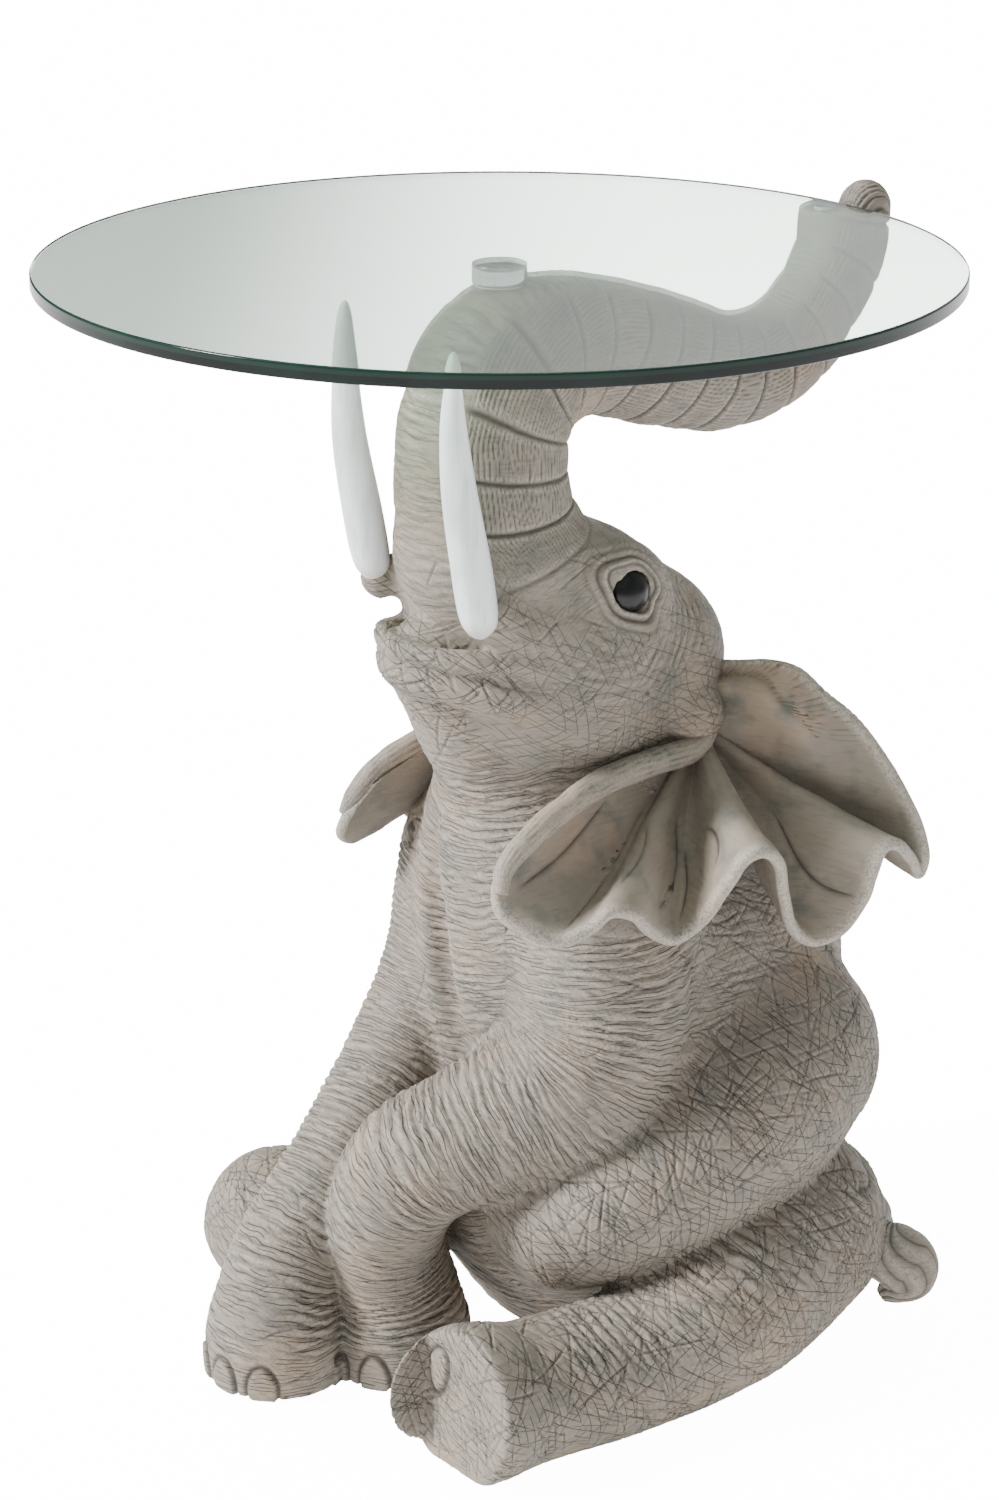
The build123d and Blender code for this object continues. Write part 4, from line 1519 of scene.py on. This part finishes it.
    @staticmethod
    def nail(skin: Skin, close: Array, across: Array, up: Array) -> None:
        """Raise one nail where across and up run from -1 to 1, with painted shade in its outline and less
        painted shade on its plate.
        """
        ring = np.sqrt(across**2 + np.where(up > 0, up**2, 0.25 * up**2))
        line = np.exp(-(((ring - 1.0) / 0.14) ** 2)) * close
        skin.relief += (1.3 * ease(1.0, 0.8, ring) * (ring < 1.0) - 1.2 * line) * close
        # painted shade in the nail's outline, less on its plate
        skin.wash = np.maximum(skin.wash * (1.0 - 0.8 * (ring < 0.86) * close), 0.95 * line)

    def hand_lines(self, skin: Skin) -> None:
        """Cut the few long lines that the sculptor drew by hand."""
        lines = (
            ((57.0, 57.0, 451.0), (60.0, 60.0, 443.0), (60.0, 60.0, 434.0)),
            ((26.0, 46.0, 494.0), (38.0, 34.0, 492.0), (48.0, 14.0, 484.0), (52.0, -4.0, 474.0)),
            (
                (52.0, 4.0, 474.0),
                (60.0, 8.0, 456.0),
                (66.0, 16.0, 440.0),
                (70.0, 30.0, 424.0),
                (72.0, 48.0, 408.0),
            ),
            ((50.0, -6.0, 462.0), (58.0, -6.0, 446.0), (60.0, -6.0, 432.0)),
            ((52.0, 0.0, 466.0), (61.0, 0.0, 450.0), (64.0, 2.0, 434.0)),
        )
        for line in lines:
            path = through(np.array(line), 24)
            for side in Side:
                skin.groove(to_side(path, side), 1.0, 1.0)

    @staticmethod
    def paint(skin: Skin) -> dict:
        """Return the skin's point attributes for its paint."""
        return {
            # painted shade and painted highlight masks, then the guides of the scored lines
            "wash": skin.wash,
            "painted_highlight": skin.painted_highlight,
            "flow": skin.flow,
            "ringed": skin.ringed,
            "scored": skin.scored,
        }

    def build(self, resin: bpy.types.Material) -> bpy.types.Object:
        """Return the dressed casting."""
        skin = self.skin(self.coarse_mm)
        shaped = skin.shaped()
        shaped[:, 2] = np.maximum(shaped[:, 2], FLOOR_LIFT)
        over = (np.hypot(shaped[:, 0], shaped[:, 1]) < self.rim_clear) & (shaped[:, 1] > 180.0)
        shaped[over, 2] = np.minimum(shaped[over, 2], self.ledge_z)
        seat = np.abs(shaped[:, 1]) < 100.0
        shaped[seat, 2] = np.minimum(shaped[seat, 2], self.seat_z)
        obj = build_object("elephant_skin", shaped, [skin.quads], self.paint(skin))
        obj.data.materials.append(resin)
        finish_piece(obj, Body.ELEPHANT, "painted_resin", "body_casting", "trunk_casting")
        return obj


@dataclass(frozen=True)
class Ear:
    """One fanned ear: a thin shell gathered at the root, with a frilled lower rim."""

    side: Side
    root: tuple = (50.0, 105.0, 371.0)
    thickness: float = 6.5
    fold_radius: float = 6.0
    right_offset: tuple = (10.0, 13.0, -4.0)
    rows: int = 110
    columns: int = 460
    # the rim from the front corner, along the frill to the back corner, and up to the root
    rim: tuple = (
        (76, -52, 342), (79, -66, 326), (86, -68, 312), (97, -58, 302), (106, -44, 296), (115, -30, 302),
        (122, -22, 311), (124, -6, 306), (119, 12, 290), (120, 28, 282), (128, 42, 294), (140, 46, 316),
        (150, 50, 333), (154, 61, 336), (150, 76, 323), (138, 92, 296), (130, 107, 271), (132, 121, 260),
        (140, 135, 266), (149, 142, 284), (158, 140, 303), (165, 139, 321), (168, 148, 324), (165, 162, 311),
        (161, 174, 297), (163, 176, 308), (160, 174, 323), (156, 168, 340), (148, 162, 357), (139, 154, 374),
        (128, 147, 388), (113, 141, 398), (94, 138, 408), (74, 134, 408), (56, 126, 404), (42, 118, 402),
    )
    fold: tuple = (
        (42, 108, 396), (51, 111, 385), (59, 103, 371), (65, 84, 364), (70, 48, 366), (73, 14, 364),
        (77, -18, 357), (80, -45, 347), (81, -62, 334), (84, -67, 322),
    )

    def sheet(self) -> tuple:
        """Return the inner surface and its paint values.

        Returns:
            Points by row and column, the painted shade and the painted highlight.
        """
        rows, columns = ((self.rows, self.columns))
        rim = through(np.array(self.rim, float), columns)
        u = np.linspace(0.0, 1.0, columns)[None, :, None]
        v = np.linspace(0.0, 1.0, rows)[:, None, None] ** 0.85
        root = np.array(self.root)
        points = root + (rim[None] - root) * v
        inward = unit(np.array([-0.75, 0.35, -0.55]))
        arch = 4.0 * v * (1.0 - v)
        hollow = ease(0.0, 0.16, u) * ease(1.0, 0.82, u)
        points = points + inward * 7.0 * hollow * arch
        points = points + np.array([3.0, 0.0, 10.0]) * arch * ease(0.16, 0.0, u)
        crest = np.exp(-(((v - 0.58) / 0.13) ** 2)) * ease(0.74, 0.84, u)
        points = points - inward * 8.0 * crest
        beyond = ease(0.6, 1.0, v) * ease(0.76, 0.86, u)
        points = points + inward * 9.0 * beyond * (1.0 - v)
        flat = points.reshape(-1, 3)
        u2, v2 = np.broadcast_to(u[..., 0], (rows, columns)), np.broadcast_to(v[..., 0], (rows, columns))
        # painted shade in the vein cuts
        wash, press = self.veins(u2, v2)
        lined = ease(0.62, 0.7, v2) * ease(0.8, 0.86, u2) * ease(1.0, 0.96, u2)
        stripe = np.abs(np.sin(np.pi * (u2 * 150.0 + 0.5 * noise(flat, 12.0, 5).reshape(u2.shape))))
        press = press - 0.5 * lined * (1.0 - stripe)
        # painted shade in the stripes of the frill
        wash = np.maximum(wash, 0.7 * lined * np.clip((0.4 - stripe) / 0.4, 0.0, 1.0))
        normals = self.grid_normals(points)
        swell = 0.9 * noise(flat, 20.0, 7).reshape(u2.shape) + 0.18 * noise(flat, 5.0, 8).reshape(u2.shape)
        points = points + normals * (press + swell)[..., None]
        # painted shade in the hollow towards the root, where the ear meets the head
        depth = 0.5 * ease(0.55, 0.1, v2) * ease(0.02, 0.12, u2)
        wash = np.clip(np.maximum(wash, depth * 0.55), 0.0, 1.0)
        # painted highlight along the outer rim
        painted_highlight = ease(0.955, 1.0, v2) * 0.9
        return points, wash, painted_highlight

    @staticmethod
    def veins(u: Array, v: Array) -> tuple:
        """Return the painted shade and depth of the incised veins."""
        wash, press = np.zeros(u.shape), np.zeros(u.shape)
        veins = (
            (0.05, 0.50, 0.92, 0.010), (0.115, 0.42, 0.97, 0.014), (0.17, 0.55, 0.86, 0.010),
            (0.225, 0.46, 0.9, 0.02),
            (0.262, 0.6, 0.93, 0.006), (0.31, 0.62, 0.86, 0.012), (0.47, 0.55, 0.95, -0.010),
            (0.545, 0.5, 0.97, -0.02),
            (0.66, 0.5, 0.96, -0.02), (0.72, 0.42, 0.8, -0.02),
        )
        for middle, start, stop, bow in veins:
            line = middle + bow * np.sin((v - start) / (stop - start) * math.pi)
            width = 0.0026 / np.maximum(v, 0.3)
            cut = np.exp(-(((u - line) / width) ** 2)) * ease(start - 0.03, start + 0.06, v) * ease(
                stop + 0.02, stop - 0.05, v
            )
            wash, press = np.maximum(wash, cut), np.minimum(press, -0.8 * cut)
        return wash, press

    @staticmethod
    def grid_normals(points: Array) -> Array:
        """Return unit normals of a grid of points, facing the inner side."""
        down, over = np.gradient(points, axis=0), np.gradient(points, axis=1)
        made = unit(np.cross(over, down))
        made[0] = made[1]
        return made if made[..., 0].mean() > 0 else -made

    def shell(self) -> tuple:
        """Return the closed shell's points, faces and paint values."""
        points, wash, painted_highlight = self.sheet()
        rows, columns = points.shape[:2]
        normals = self.grid_normals(points)
        v = np.linspace(0.0, 1.0, rows)[:, None]
        half = self.thickness / 2 * (0.75 + 0.35 * ease(0.8, 1.0, v))[..., None] * np.ones((rows, columns, 1))
        outward = unit(points[-1] - points[-2])
        arc = np.linspace(0.0, math.pi, 9)[1:-1]
        lip = [points[-1] + half[-1] * (math.cos(a) * normals[-1] + math.sin(a) * outward) for a in arc]
        front, back = points + half * normals, (points - half * normals)[::-1]
        layers = np.concatenate([front, np.array(lip), back])
        # painted shade: the inner face's marks, none on the rolled lip, an even quarter on the back; painted
        # highlight: the inner rim, all of the lip, an even fifth on the back
        painted_shade_rows = np.concatenate([wash, np.zeros((len(arc), columns)), 0.25 + 0.0 * wash])
        painted_highlight_rows = np.concatenate([painted_highlight, np.ones((len(arc), columns)), 0.2 + 0.0 * painted_highlight])
        count = len(layers)
        i, j = np.meshgrid(np.arange(count - 1), np.arange(columns - 1), indexing="ij")
        quads = np.stack(
            [i * columns + j, (i + 1) * columns + j, (i + 1) * columns + j + 1, i * columns + j + 1], -1
        ).reshape(-1, 4)
        edge = np.arange(count)
        half_count = count // 2
        faces = [quads]
        for column, flip in ((0, False), (columns - 1, True)):
            a, b = edge[:half_count], edge[::-1][:half_count]
            strip = np.stack([a[:-1], a[1:], b[1:], b[:-1]], -1) * columns + column
            faces.append(strip[:, ::-1] if flip else strip)
        return layers.reshape(-1, 3), faces, painted_shade_rows.ravel(), painted_highlight_rows.ravel()

    def fold_band(self) -> tuple:
        """Return the rolled front margin that lies along the cheek."""
        path = through(np.array(self.fold, float), 150)
        t = np.linspace(0.0, 1.0, len(path))
        radius = self.fold_radius * (0.55 + 0.75 * np.sin(np.pi * np.clip(t * 0.9 + 0.08, 0, 1)) ** 0.7)
        rings, out, angle = tube_rings(np.column_stack([path, radius]), 40)
        flat = rings.reshape(-1, 3)
        lines = np.abs(
            np.sin(
                angle[None, :] * 7.0 + 3.0 * t[:, None] + 1.5 * noise(flat, 14.0, 9).reshape(rings.shape[:2])
            )
        )
        rings = rings + out * (
            0.5 * noise(flat, 9.0, 10).reshape(rings.shape[:2]) - 0.35 * (1.0 - lines)
        )[..., None]
        points, faces = sleeve(rings)
        # painted shade in the margin's grooves, painted highlight on its ridges
        wash = np.append(0.55 * np.clip((0.3 - lines) / 0.3, 0.0, 1.0).ravel(), [0.0, 0.0])
        painted_highlight = np.append(0.75 * lines.ravel(), [0.0, 0.0])
        return points, faces, wash, painted_highlight

    def build(self, resin: bpy.types.Material) -> bpy.types.Object:
        """Return the dressed ear."""
        parts = [self.shell(), self.fold_band()]
        start, points, faces, wash, painted_highlight = 0, [], [], [], []
        for p, f, w, c in parts:
            points.append(p)
            faces += [quad + start for quad in f]
            wash.append(w)
            painted_highlight.append(c)
            start += len(p)
        points = np.vstack(points)
        if self.side is Side.RIGHT:
            points = points * [-1.0, 1.0, 1.0] + np.array(self.right_offset)
            faces = [f[:, ::-1] for f in faces]
        name = self.side.word + "_ear"
        values = {"wash": np.concatenate(wash), "painted_highlight": np.concatenate(painted_highlight)}
        obj = build_object(name + "_shell", points, faces, values)
        obj.data.materials.append(resin)
        finish_piece(obj, Body.ELEPHANT, "painted_resin_ear", name)
        return obj


@dataclass(frozen=True)
class Tail:
    """The tail, lying round the rump and curled into a tuft with spiral lines."""

    stations: tuple = (
        (40.0, 206.0, 66.0, 12.0), (84.0, 202.0, 62.0, 13.0), (116.0, 190.0, 58.0, 14.0),
        (136.0, 172.0, 58.0, 15.0),
        (147.0, 170.0, 55.0, 17.0), (154.0, 181.0, 47.0, 19.0), (154.0, 188.0, 35.0, 17.0),
        (147.0, 184.0, 24.0, 11.0),
        (142.0, 178.0, 18.0, 4.0),
    )
    lines: int = 9

    def build(self, resin: bpy.types.Material) -> bpy.types.Object:
        """Return the dressed tail."""
        curve = through(np.array(self.stations), 160)
        rings, out, angle = tube_rings(curve, 120, (1.0, 0.3, -0.2))
        t = np.linspace(0.0, 1.0, len(curve))[:, None]
        flat = rings.reshape(-1, 3)
        warp = 0.8 * noise(flat, 16.0, 91).reshape(rings.shape[:2])
        wave = np.abs(np.sin(0.5 * self.lines * angle[None] + 14.0 * t + warp))
        rings = rings + out * (1.5 * (wave**0.7 - 0.6))[..., None]
        points, faces = sleeve(rings)
        # painted shade in the spiral grooves, painted highlight on the crests
        wash = np.append(np.clip((0.3 - wave) / 0.3, 0.0, 1.0).ravel(), [0.0, 0.0])
        painted_highlight = np.append(0.7 * np.clip((wave - 0.6) / 0.4, 0.0, 1.0).ravel(), [0.0, 0.0])
        obj = build_object("tail_curl", points, faces, {"wash": wash, "painted_highlight": painted_highlight})
        obj.data.materials.append(resin)
        finish_piece(obj, Body.ELEPHANT, "painted_resin", "tail")
        return obj


@dataclass(frozen=True)
class Tusk:
    """One bowed tusk set in its lip sheath."""

    side: Side
    stations: tuple = (
        (47.0, -48.0, 455.5, 1.0), (47.0, -49.0, 457.0, 5.5), (47.0, -50.5, 461.0, 8.8),
        (47.5, -53.5, 471.0, 10.8),
        (48.0, -58.5, 497.0, 11.0), (48.0, -66.0, 537.0, 9.6), (47.0, -69.0, 572.0, 7.2),
        (47.0, -69.0, 597.0, 4.4),
        (47.0, -68.6, 605.0, 2.4), (47.0, -68.4, 607.5, 0.6),
    )

    def build(self, enamel: bpy.types.Material) -> bpy.types.Object:
        """Return the dressed tusk."""
        curve = to_side(through(np.array(self.stations), 120), self.side)
        curve[:, 3] = np.maximum(curve[:, 3], 0.4)
        rings, out, angle = tube_rings(curve, 64, (1.0, 0.0, 0.0))
        points, faces = sleeve(rings)
        # painted shade at the root, where the tusk enters the sheath
        wash = 0.5 * ease(466.0, 458.0, points[:, 2] + 0.22 * np.minimum(points[:, 0], 0.0))
        name = self.side.word + "_tusk"
        obj = build_object(name + "_enamelled", points, faces, {"wash": wash})
        obj.data.materials.append(enamel)
        finish_piece(obj, Body.ELEPHANT, "satin_white_enamel", name)
        return obj


@dataclass(frozen=True)
class Eye:
    """One domed eye set between the lids."""

    side: Side
    centre: tuple = ElephantCasting.eye
    radius: float = 12.7

    def build(self, lacquer: bpy.types.Material) -> bpy.types.Object:
        """Return the dressed eye."""
        out = unit(np.array(ElephantCasting.eye_out) * [self.side.value, 1.0, 1.0])
        middle = to_side(self.centre, self.side) - 0.5 * out
        t = np.linspace(0.0, math.pi, 34)
        profile = self.radius * np.sin(t) * (1.0 + 0.04 * np.sin(2 * t))
        line = middle + (self.radius * np.cos(t) * np.where(t < math.pi / 2, 0.92, 0.5))[:, None] * out
        curve = np.column_stack([line, np.maximum(profile, 0.05)])
        side = unit(np.cross(out, [0.0, 0.0, 1.0]))
        over = np.cross(side, out)
        angle = np.linspace(0.0, 2 * math.pi, 64, endpoint=False)
        circle = np.cos(angle)[:, None] * side + np.sin(angle)[:, None] * over
        rings = curve[:, None, :3] + curve[:, 3][:, None, None] * circle[None]
        points, faces = sleeve(rings)
        name = self.side.word + "_eye"
        obj = build_object(name + "_dome", points, faces)
        obj.data.materials.append(lacquer)
        finish_piece(obj, Body.ELEPHANT, "gloss_black_eye", name)
        return obj


# --- the glass top -------------------------------------------------------------------------


@dataclass(frozen=True)
class GlassTop:
    """The glass round with its polished rim, and the metal disc bonded under it."""

    radius: float = 250.0
    under: float = 637.0
    thickness: float = 8.0
    disc_radius: float = 15.0
    disc_low: float = 625.8
    segments: int = 256

    def turned(self, name: str, profile: Array) -> tuple:
        """Turn a profile of radius and height about the stud axis.

        Args:
            name: The piece's name.
            profile: Rows of radius, height.

        Returns:
            The object and its profile rows for each face.
        """
        angle = np.linspace(0.0, 2 * math.pi, self.segments, endpoint=False)
        ring = np.column_stack([np.cos(angle), np.sin(angle), 0.0 * angle])
        rings = profile[:, 0][:, None, None] * ring[None]
        rings = rings + profile[:, 1][:, None, None] * np.array([0.0, 0.0, 1.0])
        points, faces = sleeve(rings)
        return build_object(name, points, faces), profile

    def pane_profile(self) -> Array:
        """Return the pane's section: flat faces, rounded arrises and a flat polished rim."""
        arris = 1.0
        arc = np.linspace(0.0, math.pi / 2, 6)
        rows = [(r, self.under) for r in (1.0, 60.0, 120.0, 180.0, 230.0, self.radius - arris - 0.6)]
        rows += [
            (self.radius - arris + arris * math.sin(a), self.under + arris - arris * math.cos(a)) for a in arc
        ]
        top = self.under + self.thickness
        rows += [(self.radius, self.under + share * self.thickness) for share in (0.3, 0.55, 0.62, 0.7)]
        rows += [(self.radius - arris + arris * math.cos(a), top - arris + arris * math.sin(a)) for a in arc]
        rows += [(r, top) for r in (self.radius - arris - 0.6, 230.0, 180.0, 120.0, 60.0, 1.0)]
        return np.array(rows)

    def build(self, glass: bpy.types.Material, edge: bpy.types.Material, metal: bpy.types.Material) -> None:
        """Build and dress the pane and the disc."""
        pane, profile = self.turned("glass_pane", self.pane_profile())
        pane.data.materials.append(glass)
        pane.data.materials.append(edge)
        heights = np.array([polygon.center.z for polygon in pane.data.polygons]) / MM
        flat = np.abs([polygon.normal.z for polygon in pane.data.polygons])
        pane.data.polygons.foreach_set("material_index", (flat < 0.98).astype(np.int32))
        z = np.empty(len(pane.data.vertices) * 3, np.float32)
        pane.data.vertices.foreach_get("co", z)
        level = z.reshape(-1, 3)[:, 2] / MM
        # painted highlight on the rim, strongest at the top arris
        shine = pane.data.attributes.new("wash", "FLOAT", "POINT")
        middle = self.under + self.thickness / 2
        shine.data.foreach_set(
            "value",
            (0.35 * ease(0.4, 1.0, level - middle) + 0.65 * ease(3.1, 3.9, level - middle)).astype(
                np.float32
            ),
        )
        LOG.info("pane spans %.1f to %.1f mm", heights.min(), heights.max())
        finish_piece(pane, Body.TOP, "float_glass", "glass_top")
        chamfer = 0.7
        rows = [
            (4.05, self.disc_low), (12.0, self.disc_low), (self.disc_radius - chamfer, self.disc_low),
            (self.disc_radius - 0.2, self.disc_low + 0.5), (self.disc_radius, self.disc_low + chamfer),
            (self.disc_radius, self.disc_low + 3.0), (self.disc_radius, self.under - 3.0),
            (self.disc_radius, self.under - chamfer), (self.disc_radius - 0.2, self.under - 0.2),
            (self.disc_radius - chamfer, self.under - 0.02), (9.0, self.under - 0.02),
            (0.4, self.under - 0.02),
            (0.4, self.disc_low + 8.6), (4.05, self.disc_low + 8.6), (4.05, self.disc_low + 0.01),
        ]
        disc, _ = self.turned("disc_turned", np.array(rows))
        disc.data.materials.append(metal)
        finish_piece(disc, Body.TOP, "polished_aluminium", "glass_disc")


# --- hidden fixings ------------------------------------------------------------------------


@dataclass(frozen=True)
class Fixings:
    """The fixings kept as packed: their shape is right, so they only get a finish."""

    def dress(self) -> None:
        """Give each fixing its material."""
        felt = PlainPolymer("pressed_felt_dark", "#2B2724", 0.95, 0.6).build()
        finishes = {
            "disc_washer": PlainPolymer("natural_nylon_sheet", "#D8D6CE", 0.45).build(),
            "boss_stud": TurnedMetal("zinc_plated_steel", "#B9BCC0", 0.3).build(),
            "threaded_insert": TurnedMetal("turned_brass", "#D8B36A", 0.28).build(),
            "trunk_armature": TurnedMetal("drawn_mild_steel", "#8A8A8C", 0.45).build(),
            "rim_bumper": PlainPolymer("clear_polyurethane", "#C9CFCB", 0.3).build(),
            "base_plug": PlainPolymer("moulded_black_rubber", "#1C1C1C", 0.8).build(),
        }
        for word in ("front_right", "front_left", "hind_right", "hind_left", "rump"):
            finishes["pad_" + word] = felt
        for name, material in finishes.items():
            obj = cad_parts[name]
            if not obj.material_slots:
                obj.data.materials.append(material)
            for entry in obj.material_slots:
                entry.material = material
            LOG.info("%s keeps its packed shape", name)


# --- studio --------------------------------------------------------------------------------


@dataclass(frozen=True)
class Studio:
    """A pale floor, soft lights and the camera."""

    distance: float = 1.9
    azimuth: float = 51.0
    elevation: float = 12.23
    look_down: float = 20.17
    lens: float = 84.4
    aim_z: float = 0.645
    floor: str = "#F4F4F3"
    floor_fill: float = 0.8
    floor_dim: float = 0.6
    floor_lit: float = 9.5
    floor_white: float = 14.0
    ambient: float = 0.42

    def build(self) -> None:
        """Build the floor, the lights and the camera."""
        bpy.ops.mesh.primitive_plane_add(size=14.0, location=(0.0, 0.0, 0.0))
        floor = bpy.context.object
        floor.name = "studio_floor"
        material, tree, shader = new_material("pale_paper_floor")
        shader.inputs["Base Color"].default_value = colour(self.floor)
        shader.inputs["Roughness"].default_value = 0.9
        shader.inputs["Emission Color"].default_value = (1.0, 1.0, 1.0, 1.0)
        # The floor glows: strongly and evenly to camera rays; to rays through the glass it glows dimmer
        # towards one side, a painted shade; to all other rays it glows faintly as fill.
        path = add_node(tree, "ShaderNodeLightPath")
        where = add_node(tree, "ShaderNodeTexCoord").outputs["Object"]
        across = add_node(
            tree, "ShaderNodeVectorMath", {"operation": "DOT_PRODUCT", 1: (0.629, 0.777, 0.0)}, i0=where
        )
        shade = spread(tree, across.outputs["Value"], -0.5, 0.25)
        seen = add_node(
            tree, "ShaderNodeMapRange", {"To Min": self.floor_dim, "To Max": self.floor_lit}, Value=shade
        )
        fill = add_node(
            tree,
            "ShaderNodeMix",
            {"data_type": "FLOAT", 2: self.floor_fill},
            i0=path.outputs["Is Transmission Ray"],
            i3=seen.outputs[0],
        )
        lit = add_node(
            tree,
            "ShaderNodeMix",
            {"data_type": "FLOAT", 3: self.floor_white},
            i0=path.outputs["Is Camera Ray"],
            i2=fill.outputs[0],
        )
        tree.links.new(lit.outputs[0], shader.inputs["Emission Strength"])
        floor.data.materials.append(material)
        self.room()
        for name, place, angle, power in (
            ("key", (-1.5, -2.5, 2.0), 14.0, 7.4), ("top", (-1.0, 0.6, 3.0), 50.0, 1.3)
        ):
            data = bpy.data.lights.new(name, "SUN")
            data.angle, data.energy = math.radians(angle), power
            lamp = bpy.data.objects.new(name, data)
            bpy.context.scene.collection.objects.link(lamp)
            lamp.location = place
            lamp.rotation_euler = Vector(place).to_track_quat("Z", "Y").to_euler()
        self.camera()

    def room(self) -> None:
        """Make the white room, which darkens to one side behind the table."""
        world = bpy.data.worlds.new("soft_white_room")
        bpy.context.scene.world = world
        world.use_nodes = True
        tree = world.node_tree
        toward = add_node(tree, "ShaderNodeTexCoord").outputs["Generated"]
        across = add_node(
            tree, "ShaderNodeVectorMath", {"operation": "DOT_PRODUCT", 1: (0.63, 0.777, 0.0)}, i0=toward
        )
        behind = add_node(
            tree, "ShaderNodeVectorMath", {"operation": "DOT_PRODUCT", 1: (-0.777, 0.63, 0.0)}, i0=toward
        )
        shade = spread(tree, across.outputs["Value"], -0.14, 0.12)
        back = spread(tree, behind.outputs["Value"], 0.3, 0.8)
        wall = add_node(tree, "ShaderNodeMapRange", {"To Min": 0.12, "To Max": 0.95}, Value=shade).outputs[0]
        level = add_node(
            tree, "ShaderNodeMix", {"data_type": "FLOAT", 2: self.ambient}, i0=back, i3=wall
        ).outputs[0]
        tree.links.new(level, tree.nodes["Background"].inputs["Strength"])
        tree.nodes["Background"].inputs["Color"].default_value = (1.0, 1.0, 1.0, 1.0)

    def camera(self) -> None:
        """Make the camera and aim it."""
        data = bpy.data.cameras.new("camera")
        data.lens, data.sensor_width, data.sensor_fit = self.lens, 36.0, "AUTO"
        data.clip_start, data.clip_end = 0.05, 60.0
        camera = bpy.data.objects.new("camera", data)
        bpy.context.scene.collection.objects.link(camera)
        a, e, p = (math.radians(v) for v in (self.azimuth, self.elevation, self.look_down))
        back = Vector((math.sin(a) * math.cos(e), -math.cos(a) * math.cos(e), math.sin(e)))
        ahead = Vector((-math.sin(a) * math.cos(p), math.cos(a) * math.cos(p), -math.sin(p)))
        camera.location = Vector((0.0, STUD_Y * MM, self.aim_z)) + self.distance * back
        camera.rotation_euler = ahead.to_track_quat("-Z", "Y").to_euler()
        bpy.context.scene.camera = camera


def main() -> None:
    """Build every sub-assembly in order."""
    logging.basicConfig(level=logging.INFO, format="%(message)s")
    resin = PaintedResin("hand_painted_polyresin").build()
    ear_resin = PaintedResin(
        "smooth_painted_polyresin",
        taupe="#8C8276",
        tan="#9A8877",
        blotch_mm=60.0,
        painted_highlight_strength=0.45,
        streak_strength=0.1,
    ).build()
    enamel = SatinEnamel("brushed_white_enamel").build()
    lacquer = EyeLacquer("black_eye_lacquer").build()
    ElephantCasting().build(resin)
    for side in Side:
        Ear(side).build(ear_resin)
        Tusk(side).build(enamel)
        Eye(side).build(lacquer)
    Tail().build(resin)
    glass = FloatGlass("clear_float_glass").build()
    edge = PolishedGlassEdge("polished_glass_edge").build()
    GlassTop().build(glass, edge, TurnedMetal("polished_aluminium_turned").build())
    Fixings().dress()
    Studio().build()


if __name__ == "__main__":
    main()
